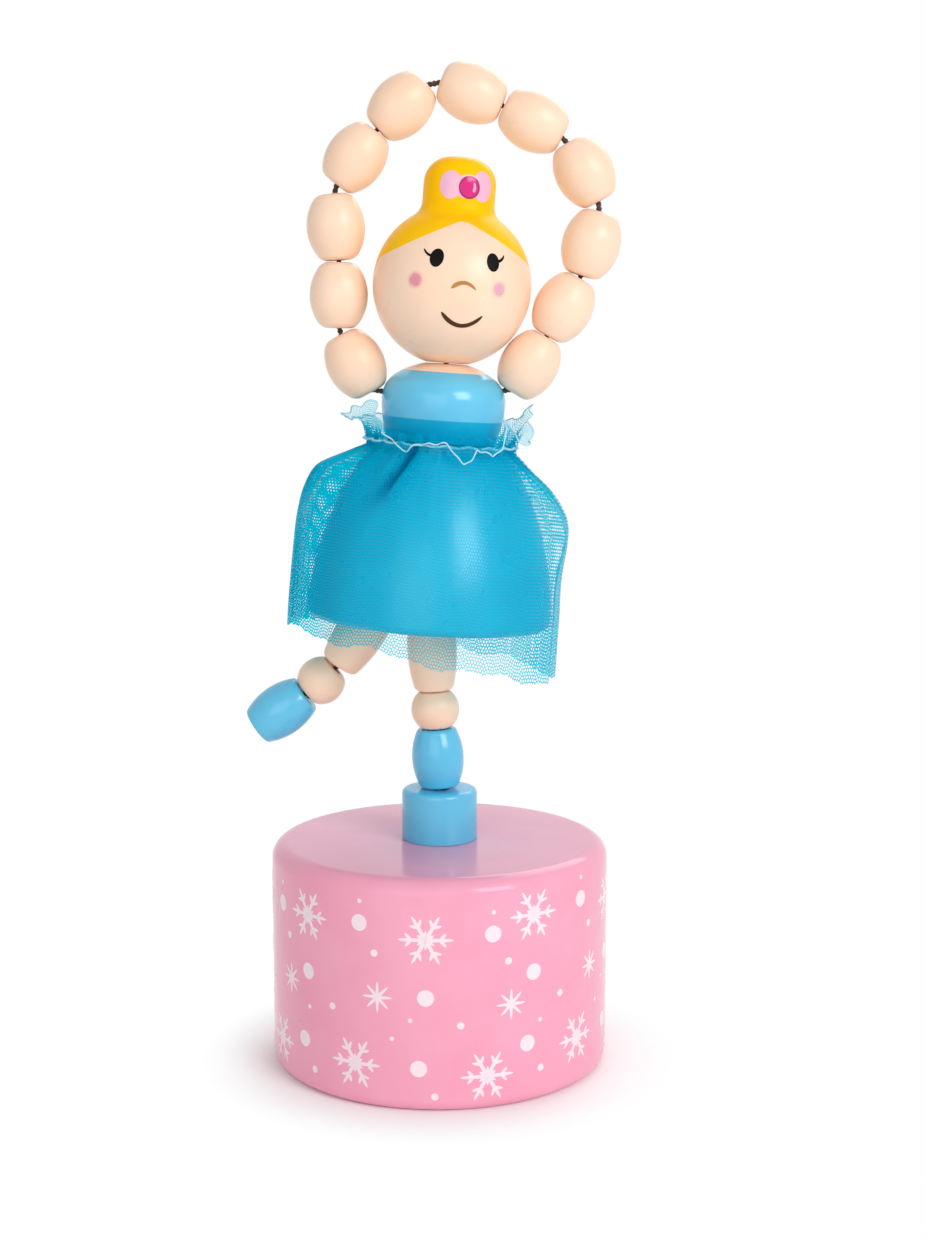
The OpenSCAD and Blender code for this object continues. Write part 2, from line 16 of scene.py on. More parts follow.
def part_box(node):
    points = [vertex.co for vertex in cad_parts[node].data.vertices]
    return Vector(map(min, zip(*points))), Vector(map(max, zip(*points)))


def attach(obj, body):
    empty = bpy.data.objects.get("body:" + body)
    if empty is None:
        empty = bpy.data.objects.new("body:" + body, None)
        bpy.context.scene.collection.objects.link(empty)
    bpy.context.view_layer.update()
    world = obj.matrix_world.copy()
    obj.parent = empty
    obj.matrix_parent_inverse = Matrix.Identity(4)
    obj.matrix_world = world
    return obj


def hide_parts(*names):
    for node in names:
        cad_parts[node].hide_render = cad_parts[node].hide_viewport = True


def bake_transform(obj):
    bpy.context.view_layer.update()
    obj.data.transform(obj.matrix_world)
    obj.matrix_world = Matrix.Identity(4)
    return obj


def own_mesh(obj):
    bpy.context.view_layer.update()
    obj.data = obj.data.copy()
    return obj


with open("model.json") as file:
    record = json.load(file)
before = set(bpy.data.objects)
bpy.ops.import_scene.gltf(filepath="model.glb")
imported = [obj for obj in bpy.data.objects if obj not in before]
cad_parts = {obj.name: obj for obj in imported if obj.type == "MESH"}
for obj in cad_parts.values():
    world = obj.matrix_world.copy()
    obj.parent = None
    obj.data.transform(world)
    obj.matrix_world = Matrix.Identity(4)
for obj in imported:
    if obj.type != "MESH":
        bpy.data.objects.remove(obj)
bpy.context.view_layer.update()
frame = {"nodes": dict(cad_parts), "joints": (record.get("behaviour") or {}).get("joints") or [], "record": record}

MM = 0.001
scene = bpy.context.scene
scene.view_settings.view_transform = "Standard"

# Camera, at the photograph's viewing angle
PHOTO_H = 1238
FOCAL_PIXELS = 2000
CAMERA_AT = (3.5, -292.5, 107.0)
LOOK_DOWN = 7.9
camera_data = bpy.data.cameras.new("camera")
camera_data.sensor_width = 36
camera_data.lens = camera_data.sensor_width * FOCAL_PIXELS / PHOTO_H
camera_data.clip_start = 0.01
camera = bpy.data.objects.new("camera", camera_data)
camera.location = Vector(CAMERA_AT) * MM
camera.rotation_euler = (math.radians(90 - LOOK_DOWN), 0, 0)
scene.collection.objects.link(camera)
scene.camera = camera

# Sizes of the turned pieces
DRUM_D, DRUM_H, DRUM_WALL, DRUM_TOP = 50, 33.4, 4.5, 8.4
DRUM_FOOT_ROUND, DRUM_TOP_ROUND = 2, 2.4
PEG_D, PEG_H, SPIGOT_D, SPIGOT_H = 11.2, 7.6, 7, 5
BORE, STRAND_BORE = 3, 1.9
BUTTON_LOW, BUTTON_T, BUTTON_GAP, BOSS_D, BOSS_H = 5, 5, 0.3, 13.6, 2
POCKET_D, POCKET_H = 9, 3.4
SPRING_D, SPRING_WIRE, SPRING_TURNS = 16, 1, 6
SHOE = dict(length=8.8, widest=7.7, face=5.6)
ANKLE = dict(length=5.5, widest=7.1, face=4.49)
THIGH = dict(length=12.4, widest=7.3, face=4.2, rounding=0.9)
ARM_BEAD = dict(length=9.4, widest=8.4, face=3, rounding=1.8)
ARM_BEADS, RIGHT_ARM_BEADS = 11, 6
DRESS_D, DRESS_H, DRESS_TOP_D = 35.8, 26.2, 18.4
BODY_LEAN, HEAD_LEAN = 4, 4.5
BODICE_D, BODICE_H, BODICE_FOOT_D, BODICE_MID_H = 18, 11.3, 15.6, 6
SHOULDER_R, NECK_DOME_R = 4.3, 13
HEAD_D, HEAD_FLAT, HEAD_BORE, HEAD_BORE_H = 22.9, 6, 2.1, 9
BUN_D, BUN_H, BUN_ROUND, BUN_HOLLOW = 10.4, 6.7, 3.8, 2.5
CORD_D, CORD_SPOT = 0.9, 0.5
SEAT_GAP = 0.12

# Turning, easing and printing
TURN_SIDES = 128
RIM_EASE, HOLE_EASE = 0.35, 0.2
INK_LIFT, INK_T = 0.03, 0.06

BODY_OF = {node: body for body, nodes in frame["record"]["behaviour"]["bodies"].items() for node in nodes}
HINGE_AT = {joint["child"]: Vector(joint["pos_m"]) for joint in frame["joints"] if joint["type"] == "hinge"}


# Materials

def linear(hex_colour):
    """Linear RGBA of an sRGB hex colour."""
    parts = [int(hex_colour[i:i + 2], 16) / 255 for i in (1, 3, 5)]
    return (*[c / 12.92 if c <= 0.04045 else ((c + 0.055) / 1.055) ** 2.4 for c in parts], 1)


def add(tree, kind, inputs=None, **settings):
    """Adds a node: settings are its own, and each input takes a value or another node's output."""
    node = tree.nodes.new(kind)
    for key, value in settings.items():
        setattr(node, key, value)
    for key, value in (inputs or {}).items():
        if isinstance(value, bpy.types.NodeSocket):
            tree.links.new(value, node.inputs[key])
        else:
            node.inputs[key].default_value = value
    return node


# Sockets of the Mix node when it mixes colours
MIX_A, MIX_B, MIXED = 6, 7, 2


def started(name, **sockets):
    """A new material with its shader's constants set; returns it with its node tree and shader."""
    material = bpy.data.materials.new(name)
    material.use_nodes = True
    shader = material.node_tree.nodes["Principled BSDF"]
    for key, value in sockets.items():
        shader.inputs[key.replace("_", " ")].default_value = value
    return material, material.node_tree, shader


def mottled(tree, shader, share, tones, roughness):
    """Lets one pattern drive a finish, from one tone and roughness to another."""
    tone = add(tree, "ShaderNodeMix", {0: share, MIX_A: tones[0], MIX_B: tones[1]}, data_type="RGBA")
    tree.links.new(tone.outputs[MIXED], shader.inputs["Base Color"])
    haze = add(tree, "ShaderNodeMapRange", {"Value": share, "To Min": roughness[0], "To Max": roughness[1]})
    tree.links.new(haze.outputs["Result"], shader.inputs["Roughness"])


def lacquer(name, colour, deep, roughness=0.14, gloss_level=0.5, ring_depth=0.004):
    """Sprayed gloss lacquer on turned wood: the colour drifts a little with the coat's thickness, the gloss
    is wet but not even, and faint rings from the lathe show through as a fine ripple in the highlights."""
    material, tree, shader = started(name, IOR=1.5, Specular_IOR_Level=gloss_level)
    where = add(tree, "ShaderNodeTexCoord").outputs["Object"]
    drift = add(tree, "ShaderNodeTexNoise", {"Vector": where, "Scale": 1 / (9 * MM), "Detail": 3})
    spread = add(tree, "ShaderNodeMapRange",
                 {"Value": drift.outputs["Fac"], "From Min": 0.35, "From Max": 0.7}).outputs["Result"]
    coat = add(tree, "ShaderNodeMix", {0: spread, MIX_A: linear(colour), MIX_B: linear(deep)},
               data_type="RGBA")
    tree.links.new(coat.outputs[MIXED], shader.inputs["Base Color"])
    haze = add(tree, "ShaderNodeTexNoise", {"Vector": where, "Scale": 1 / (3 * MM), "Detail": 4})
    gloss = add(tree, "ShaderNodeMapRange", {"Value": haze.outputs["Fac"], "To Min": roughness * 0.7,
                                             "To Max": roughness * 1.3})
    tree.links.new(gloss.outputs["Result"], shader.inputs["Roughness"])
    # Lathe rings lie 0.05 mm apart, and are drawn ten times as coarse so that they show
    along = add(tree, "ShaderNodeAttribute", attribute_name="along")
    rings = add(tree, "ShaderNodeTexNoise", {"W": along.outputs["Fac"], "Scale": 1 / 0.5, "Detail": 2},
                noise_dimensions="1D")
    peel = add(tree, "ShaderNodeTexNoise", {"Vector": where, "Scale": 1 / (1.6 * MM), "Detail": 1})
    both = add(tree, "ShaderNodeMath", {0: rings.outputs["Fac"], 1: peel.outputs["Fac"]}, operation="ADD")
    bump = add(tree, "ShaderNodeBump", {"Height": both.outputs["Value"], "Strength": 0.25,
                                        "Distance": ring_depth * MM})
    tree.links.new(bump.outputs["Normal"], shader.inputs["Normal"])
    return material


# Share of its light that a thin place in a coat of ink keeps
INK_THIN = 0.92


def ink(name, colour, roughness=0.3, gloss_level=0.4):
    """Printing or painting ink on lacquer: opaque, duller than the coat under it, with a slight mottle."""
    material, tree, shader = started(name, IOR=1.5, Specular_IOR_Level=gloss_level)
    where = add(tree, "ShaderNodeTexCoord").outputs["Object"]
    mottle = add(tree, "ShaderNodeTexNoise", {"Vector": where, "Scale": 1 / (0.7 * MM), "Detail": 3})
    full = linear(colour)
    thin = (*[c * INK_THIN for c in full[:3]], 1)
    mottled(tree, shader, mottle.outputs["Fac"], (full, thin), (roughness * 0.8, roughness * 1.2))
    return material


def blush(name, colour, strength):
    """Dabbed blush: strongest at the middle and fading out to the skin round it."""
    material = ink(name, colour, roughness=0.4)
    tree = material.node_tree
    fade = add(tree, "ShaderNodeAttribute", attribute_name="fade")
    soft = add(tree, "ShaderNodeMapRange",
               {"Value": fade.outputs["Fac"], "From Max": 0.7, "To Max": strength},
               interpolation_type="SMOOTHSTEP")
    tree.links.new(soft.outputs["Result"], tree.nodes["Principled BSDF"].inputs["Alpha"])
    return material


def birch():
    """Bare turned birch: pale and matt, with fine straight grain and darker pores."""
    material, tree, shader = started("bare_turned_birch", IOR=1.45)
    where = add(tree, "ShaderNodeTexCoord").outputs["Object"]
    # The grain runs along X, with lines 0.8 mm apart
    laid = add(tree, "ShaderNodeMapping", {"Vector": where, "Scale": (0.06, 1, 1)})
    grain = add(tree, "ShaderNodeTexNoise", {"Vector": laid.outputs["Vector"], "Scale": 1 / (0.8 * MM),
                                             "Detail": 5, "Roughness": 0.6})
    mottled(tree, shader, grain.outputs["Fac"], (linear("#E9CFA2"), linear("#C79E66")), (0.5, 0.75))
    bump = add(tree, "ShaderNodeBump",
               {"Height": grain.outputs["Fac"], "Strength": 0.3, "Distance": 0.05 * MM})
    tree.links.new(bump.outputs["Normal"], shader.inputs["Normal"])
    return material


def spring_wire():
    """Hard-drawn steel wire: bright metal with fine streaks from the drawing die."""
    material, tree, shader = started("hard_drawn_steel_wire", Metallic=1.0)
    where = add(tree, "ShaderNodeTexCoord").outputs["Object"]
    streak = add(tree, "ShaderNodeTexNoise", {"Vector": where, "Scale": 1 / (0.4 * MM), "Detail": 3})
    mottled(tree, shader, streak.outputs["Fac"], (linear("#C9CBCF"), linear("#9A9CA2")), (0.22, 0.4))
    return material


def fibre(name, colour, dark, roughness=0.8):
    """Twisted yarn: matt, with fine fibres along it; its fine random mottle towards the darker tone is painted
    shade of the hollows.
    """
    material, tree, shader = started(name, IOR=1.5, Sheen_Weight=0.3)
    where = add(tree, "ShaderNodeTexCoord").outputs["Object"]
    fuzz = add(tree, "ShaderNodeTexNoise", {"Vector": where, "Scale": 1 / (0.15 * MM), "Detail": 4})
    # The fuzz mottles the yarn towards its darker tone: painted shade of the hollows
    mottled(tree, shader, fuzz.outputs["Fac"], (linear(colour), linear(dark)),
            (roughness - 0.1, roughness + 0.1))
    bump = add(tree, "ShaderNodeBump",
               {"Height": fuzz.outputs["Fac"], "Strength": 0.5, "Distance": 0.05 * MM})
    tree.links.new(bump.outputs["Normal"], shader.inputs["Normal"])
    return material


# Holes of the net from side to side, and its threads, in millimetres
NET_CELL, NET_THREAD = 0.52, 0.1


def nylon_tulle():
    """Nylon tulle: six-sided holes between fine threads that let light through, so that what lies behind shows. In
    the deep fold the threads are darkened, partly for the layers of net overlapping there and partly as painted
    shade of the fold. The UV map holds the flat cloth in millimetres, and the threads close up where the cloth is
    bunched."""
    material, tree, shader = started("nylon_tulle", IOR=1.05, Roughness=0.4, Transmission_Weight=0.55)
    flat = add(tree, "ShaderNodeUVMap", uv_map="flat").outputs["UV"]
    # A honeycomb is two grids of 1 by root 3, one shifted by half; a point belongs to the nearer centre
    grid = (NET_CELL, NET_CELL * math.sqrt(3), 1)
    cells = add(tree, "ShaderNodeVectorMath", {0: flat, 1: grid}, operation="DIVIDE").outputs["Vector"]
    centred = []
    for shift in (0.0, 0.5):
        moved = add(tree, "ShaderNodeVectorMath", {0: cells, 1: (shift, shift, 0)}, operation="ADD")
        part = add(tree, "ShaderNodeVectorMath", {0: moved.outputs["Vector"]}, operation="FRACTION")
        middle = add(tree, "ShaderNodeVectorMath", {0: part.outputs["Vector"], 1: (0.5, 0.5, 0)},
                     operation="SUBTRACT")
        sized = add(tree, "ShaderNodeVectorMath", {0: middle.outputs["Vector"], 1: (1, math.sqrt(3), 0)},
                    operation="MULTIPLY")
        centred.append(sized.outputs["Vector"])
    reach = [add(tree, "ShaderNodeVectorMath", {0: c}, operation="LENGTH").outputs["Value"] for c in centred]
    second = add(tree, "ShaderNodeMath", {0: reach[1], 1: reach[0]}, operation="LESS_THAN").outputs["Value"]
    # Vector sockets of the Mix node are 4 and 5, and its vector result is 1
    nearer = add(tree, "ShaderNodeMix", {0: second, 4: centred[0], 5: centred[1]},
                 data_type="VECTOR").outputs[1]
    folded = add(tree, "ShaderNodeVectorMath", {0: nearer}, operation="ABSOLUTE").outputs["Vector"]
    slanted = add(tree, "ShaderNodeVectorMath", {0: folded, 1: (0.5, math.sqrt(0.75), 0)},
                  operation="DOT_PRODUCT").outputs["Value"]
    across = add(tree, "ShaderNodeSeparateXYZ", {0: folded}).outputs["X"]
    edge = add(tree, "ShaderNodeMath", {0: slanted, 1: across}, operation="MAXIMUM").outputs["Value"]
    bunched = add(tree, "ShaderNodeAttribute", attribute_name="bunched").outputs["Fac"]
    half_thread = add(tree, "ShaderNodeMath", {0: bunched, 1: NET_THREAD / NET_CELL / 2},
                      operation="MULTIPLY")
    inner = add(tree, "ShaderNodeMath", {0: 0.5, 1: half_thread.outputs["Value"]}, operation="SUBTRACT")
    thread = add(tree, "ShaderNodeMath", {0: edge, 1: inner.outputs["Value"]}, operation="GREATER_THAN")
    tree.links.new(thread.outputs["Value"], shader.inputs["Alpha"])
    where = add(tree, "ShaderNodeTexCoord").outputs["Object"]
    drift = add(tree, "ShaderNodeTexNoise", {"Vector": where, "Scale": 1 / (5 * MM), "Detail": 2})
    tone = add(tree, "ShaderNodeMix", {0: drift.outputs["Fac"], MIX_A: linear("#00BEDD"),
                                       MIX_B: linear("#00B0D2")}, data_type="RGBA")
    # The "layers" attribute darkens the threads towards deep turquoise in the fold: partly overlapping layers,
    # partly painted shade of the fold
    layers = add(tree, "ShaderNodeAttribute", attribute_name="layers").outputs["Fac"]
    deep = add(tree, "ShaderNodeMix", {0: layers, MIX_A: tone.outputs[MIXED], MIX_B: linear("#0079A2")},
               data_type="RGBA")
    tree.links.new(deep.outputs[MIXED], shader.inputs["Base Color"])
    return material


pink_lacquer = lacquer("pink_gloss_lacquer", "#F4A7C0", "#F2A0BA", gloss_level=0.3)
blue_lacquer = lacquer("light_blue_gloss_lacquer", "#61C2E5", "#57BBE1", roughness=0.2, gloss_level=0.55)
turquoise_lacquer = lacquer("turquoise_gloss_lacquer", "#00BEDC", "#00B6D6", roughness=0.3, gloss_level=0.8)
hem_lacquer = lacquer("dark_turquoise_satin_lacquer", "#00A8D0", "#00A0CA", roughness=0.3,
                      gloss_level=0.2)
skin_lacquer = lacquer("skin_satin_lacquer", "#FADAC0", "#F9D3B6", roughness=0.3, gloss_level=0.35)
hair_lacquer = lacquer("golden_gloss_lacquer", "#FFC900", "#FDBE00", roughness=0.34, gloss_level=0.08)
white_ink = ink("white_printing_ink", "#FAE6EE")
black_ink = ink("black_painting_ink", "#060505", roughness=0.3, gloss_level=0.12)
mouth_ink = ink("dark_brown_painting_ink", "#4A2C14", gloss_level=0.2)
nose_ink = ink("brown_painting_ink", "#B7803C")
petal_ink = ink("pale_pink_painting_ink", "#F2B9D3")
jewel_ink = ink("magenta_painting_ink", "#D81F7E", roughness=0.15)
jewel_rim_ink = ink("dark_magenta_painting_ink", "#A3155F", roughness=0.15)
# Pale pink for the painted highlight on the jewel
jewel_highlight_ink = ink("light_pink_painting_ink", "#F6A3CB", roughness=0.15)
pink_blush = blush("pink_dabbed_blush", "#F08DB8", strength=0.6)
lilac_blush = blush("lilac_dabbed_blush", "#EDB0DA", strength=0.55)
birch_wood = birch()
steel_wire = spring_wire()
cotton_twine = fibre("brown_cotton_twine", "#6A4A34", "#3E2A1D")
sewing_thread = fibre("pale_turquoise_polyester_thread", "#A6E0EE", "#6CC4DC", roughness=0.6)
# Pale yarn on the frill's edge: partly the net's edge thread, partly a painted highlight of the curled edge
pale_edge_yarn = fibre("pale_nylon_selvedge", "#D2F0F6", "#9FD9E7", roughness=0.6)
tulle_net = nylon_tulle()


# Making pieces

def piece(name, bm, finishes, slot, body=None, stands_for=(), sharp=38):
    """Makes a smooth-shaded piece of a bmesh in metres, which rides on a body and may stand for CAD nodes."""
    mesh = bpy.data.meshes.new(name)
    bm.to_mesh(mesh)
    bm.free()
    for finish in finishes if isinstance(finishes, (list, tuple)) else [finishes]:
        mesh.materials.append(finish)
    mesh.shade_smooth()
    mesh.set_sharp_from_angle(angle=math.radians(sharp))
    obj = bpy.data.objects.new(name, mesh)
    scene.collection.objects.link(obj)
    if body:
        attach(obj, body)
    if stands_for:
        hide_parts(*stands_for)
    return obj


def leaning(start, lean):
    """Frame at a point whose Z axis leans towards +X by an angle in degrees."""
    return Matrix.Translation(start) @ Matrix.Rotation(math.radians(lean), 4, "Y")


def strung(node, cord_node, near):
    """Frame of a bead: it stands on its end nearest to a point, with Z along the cord through it."""
    thread = np.unique(np.array([v.co for v in frame["nodes"][cord_node].data.vertices]).round(7), axis=0)
    middle = thread.mean(0)
    axis = np.linalg.svd(thread - middle, full_matrices=False)[2][0]
    reach = (np.array([v.co for v in frame["nodes"][node].data.vertices]) - middle) @ axis
    ends = [Vector(middle + axis * r) for r in (reach.min(), reach.max())]
    ends.sort(key=lambda end: (end - near).length)
    run = ends[1] - ends[0]
    return leaning(ends[0], math.degrees(math.atan2(run.x, run.z)))


def arc(centre_r, centre_z, radius, start, end, steps=16):
    """Points of an outline along an arc, its angles in degrees from the outward direction."""
    turns = np.radians(np.linspace(start, end, steps + 1))
    return [(centre_r + radius * math.cos(a), centre_z + radius * math.sin(a), 0) for a in turns]


def eased(corners, steps=4):
    """Points of an outline from its corners (radius, height, reach); a corner with a reach is rounded."""
    points = []
    for i, (r, z, reach) in enumerate(corners):
        corner = Vector((r, z))
        if not reach:
            points.append(corner)
            continue
        before = Vector(corners[i - 1][:2])
        after = Vector(corners[(i + 1) % len(corners)][:2])
        start = corner + (before - corner).normalized() * reach
        end = corner + (after - corner).normalized() * reach
        for k in range(steps + 1):
            t = k / steps
            points.append(start.lerp(corner, t).lerp(corner.lerp(end, t), t))
    return points


def spun(corners, closed=True, sides=TURN_SIDES):
    """Spins an outline about Z into a mesh whose points keep their height in millimetres for lathe rings."""
    bm = bmesh.new()
    verts = [bm.verts.new((p.x * MM, 0, p.y * MM)) for p in eased(corners)]
    edges = [bm.edges.new(pair) for pair in zip(verts, verts[1:])]
    if closed:
        edges.append(bm.edges.new((verts[-1], verts[0])))
    bmesh.ops.spin(bm, geom=verts + edges, axis=(0, 0, 1), cent=(0, 0, 0), angle=2 * math.pi, steps=sides,
                   use_merge=True)
    bmesh.ops.remove_doubles(bm, verts=bm.verts, dist=1e-7)
    bmesh.ops.recalc_face_normals(bm, faces=bm.faces)
    along = bm.verts.layers.float.new("along")
    for vert in bm.verts:
        vert[along] = vert.co.z / MM
    return bm


def painted(bm, finish_at):
    """Gives each face the finish that its middle, in millimetres, calls for."""
    for face in bm.faces:
        face.material_index = finish_at(face.calc_center_median() / MM)


def placed(bm, place):
    bmesh.ops.transform(bm, matrix=place, verts=bm.verts)
    return bm


def barrel(length, widest, face, bore, rounding=0):
    """Corners of a barrel bead that stands on the origin, with a bore and with rims rounded or eased."""
    half, swell = length / 2 - rounding, (widest - face) / 2 - rounding
    middle_arc = (half ** 2 + swell ** 2) / (2 * swell)
    reach = math.degrees(math.asin(half / middle_arc))
    belly = middle_arc + rounding
    side = arc(widest / 2 - belly, length / 2, belly, -reach, reach, steps=20)[1:-1]
    if rounding:
        foot = arc(face / 2, rounding, rounding, -90, -reach, steps=8)
        top = arc(face / 2, length - rounding, rounding, reach, 90, steps=8)
    else:
        foot, top = [(face / 2, 0, RIM_EASE)], [(face / 2, length, RIM_EASE)]
    return [(bore / 2, 0, HOLE_EASE), *foot, *side, *top, (bore / 2, length, HOLE_EASE)]


# Drum, peg and button

def drum():
    cavity_r, cavity_h = DRUM_D / 2 - DRUM_WALL, DRUM_H - DRUM_TOP
    socket_z = DRUM_H - SPIGOT_H
    corners = [(cavity_r, 0, 0.5),
               *arc(DRUM_D / 2 - DRUM_FOOT_ROUND, DRUM_FOOT_ROUND, DRUM_FOOT_ROUND, -90, 0, 10),
               (DRUM_D / 2, DRUM_H / 2, 0),
               *arc(DRUM_D / 2 - DRUM_TOP_ROUND, DRUM_H - DRUM_TOP_ROUND, DRUM_TOP_ROUND, 0, 90, 12),
               (SPIGOT_D / 2, DRUM_H, 0.2), (SPIGOT_D / 2, socket_z, 0), (BORE / 2, socket_z, 0),
               (BORE / 2, cavity_h, 0.2), (cavity_r, cavity_h, 0.5)]
    bm = spun(corners, sides=192)
    painted(bm, lambda at: int(math.hypot(at.x, at.y) < cavity_r + 0.02 and at.z < cavity_h + 0.02))
    piece("printed_drum", bm, [pink_lacquer, birch_wood], "pink_lacquer", "base", ["base_drum"])


def peg():
    corners = [(BORE / 2, -SPIGOT_H, 0), (SPIGOT_D / 2, -SPIGOT_H, 0.3), (SPIGOT_D / 2, 0, 0),
               (PEG_D / 2, 0, 0.15), (PEG_D / 2, PEG_H, 0.8), (BORE / 2, PEG_H, 0.3)]
    bm = placed(spun(corners), Matrix.Translation((0, 0, DRUM_H * MM)))
    piece("lacquered_peg", bm, blue_lacquer, "blue_lacquer", "base", ["base_peg"])


def button():
    r = DRUM_D / 2 - DRUM_WALL - BUTTON_GAP
    corners = [(POCKET_D / 2, 0, 0.3), (r, 0, 0.9), (r, BUTTON_T, 0.9), (BOSS_D / 2, BUTTON_T, 0),
               (BOSS_D / 2, BUTTON_T + BOSS_H, 0.4), (BORE / 2, BUTTON_T + BOSS_H, 0.2),
               (BORE / 2, POCKET_H, 0), (POCKET_D / 2, POCKET_H, 0.2)]
    bm = placed(spun(corners), Matrix.Translation((0, 0, BUTTON_LOW * MM)))
    piece("turned_button", bm, birch_wood, "bare_birch", BODY_OF["push_button"], ["push_button"])


drum()
peg()
button()


# Beads of the legs and arms

body_up = Vector((math.sin(math.radians(BODY_LEAN)), 0, math.cos(math.radians(BODY_LEAN))))
bodice_at = Vector((HINGE_AT["bodice"].x, 0, HINGE_AT["bodice"].z))
dress_at = bodice_at - body_up * (DRESS_H + SEAT_GAP) * MM
head_at = Vector((HINGE_AT["head"].x, 0, HINGE_AT["head"].z))


bead_frame, bead_length = {}, {}


def along_bead(node, share):
    """Point on a bead's axis, at a share of its length."""
    return bead_frame[node] @ Vector((0, 0, bead_length[node] * share * MM))


def bead(node, cord_node, near, shape, bore, finish, slot):
    """A lacquered bead in the place of a CAD bead, on its end nearest to a point; returns its other end."""
    bead_frame[node], bead_length[node] = strung(node, cord_node, near), shape["length"]
    bm = placed(spun(barrel(**shape, bore=bore)), bead_frame[node])
    piece(f"lacquered_{node}", bm, finish, slot, BODY_OF[node], [node])
    return along_bead(node, 1)


LEG_BEADS = {"shoe": (SHOE, blue_lacquer, "blue_lacquer"), "ankle": (ANKLE, skin_lacquer, "skin_lacquer"),
             "thigh": (THIGH, skin_lacquer, "skin_lacquer")}
RIGHT_ARM = [f"arm_bead_{i}" for i in range(1, RIGHT_ARM_BEADS + 1)]
LEFT_ARM = [f"arm_bead_{i}" for i in range(ARM_BEADS, RIGHT_ARM_BEADS, -1)]
for part, (shape, finish, slot) in LEG_BEADS.items():
    for leg, bore, cord in (("standing", BORE, "cords"), ("raised", STRAND_BORE, "cord")):
        node = f"{leg}_{part}"
        bead(node, f"{node}_{cord}", HINGE_AT[BODY_OF[node]], shape, bore, finish, slot)
for arm in (RIGHT_ARM, LEFT_ARM):
    end = bodice_at
    for node in arm:
        end = bead(node, node.replace("bead", "cord"), end, ARM_BEAD, STRAND_BORE, skin_lacquer,
                   "skin_lacquer")

# Bodice

BODICE_HEM_H, NECK_PAINT_R = 3.4, 6.1


def bodice():
    """Light blue, with a skin-coloured neck and a turquoise hem painted on."""
    low_swell = (BODICE_D - BODICE_FOOT_D) / 2
    low_r = (BODICE_MID_H ** 2 + low_swell ** 2) / (2 * low_swell)
    low_reach = math.degrees(math.asin(BODICE_MID_H / low_r))
    shoulder_x = BODICE_D / 2 - SHOULDER_R
    dome_z = BODICE_MID_H - math.sqrt((NECK_DOME_R - SHOULDER_R) ** 2 - shoulder_x ** 2)
    meet = math.degrees(math.acos(shoulder_x / (NECK_DOME_R - SHOULDER_R)))
    top = math.degrees(math.asin((BODICE_H - dome_z) / NECK_DOME_R))
    top_r = NECK_DOME_R * math.cos(math.radians(top))
    corners = [(BORE / 2, 0, 0.2), (BODICE_FOOT_D / 2, 0, 0.3),
               *arc(BODICE_D / 2 - low_r, BODICE_MID_H, low_r, -low_reach, 0, 16)[1:],
               *arc(shoulder_x, BODICE_MID_H, SHOULDER_R, 0, meet, 14)[1:],
               *arc(0, dome_z, NECK_DOME_R, meet, top, 12)[1:-1],
               (top_r, BODICE_H, 0.25), (BORE / 2, BODICE_H, 0.2)]
    bm = spun(corners)
    neck_z = dome_z + math.sqrt(NECK_DOME_R ** 2 - NECK_PAINT_R ** 2)
    for height in (BODICE_HEM_H, neck_z):
        bmesh.ops.bisect_plane(bm, geom=bm.verts[:] + bm.edges[:] + bm.faces[:], dist=1e-7,
                               plane_co=(0, 0, height * MM), plane_no=(0, 0, 1))
    painted(bm, lambda at: 1 if at.z > neck_z else 2 if at.z < BODICE_HEM_H else 0)
    bm = placed(bm, leaning(bodice_at, BODY_LEAN))
    piece("lacquered_bodice", bm, [blue_lacquer, skin_lacquer, hem_lacquer], "bodice_lacquer", "bodice",
          ["bodice"])


bodice()
frame["nodes"]["dress_bell"].data.materials.clear()
frame["nodes"]["dress_bell"].data.materials.append(turquoise_lacquer)

# Head

HEAD_R = HEAD_D / 2
head_centre_z = math.sqrt(HEAD_R ** 2 - (HEAD_FLAT / 2) ** 2)
head_frame = leaning(head_at, HEAD_LEAN)
HAIR_TURN = 7.5
HAIRLINE_NORMAL, HAIRLINE_REACH = Vector((0.443, 0.075, 0.893)), 7.5
NAPE_NORMAL, NAPE_REACH = Vector((0, 0.737, 0.678)), 0.5
bun_base_x = BUN_D / 2 + BUN_HOLLOW
bun_base_z = math.sqrt((HEAD_R + BUN_HOLLOW) ** 2 - bun_base_x ** 2)
bun_top = HEAD_R + BUN_H


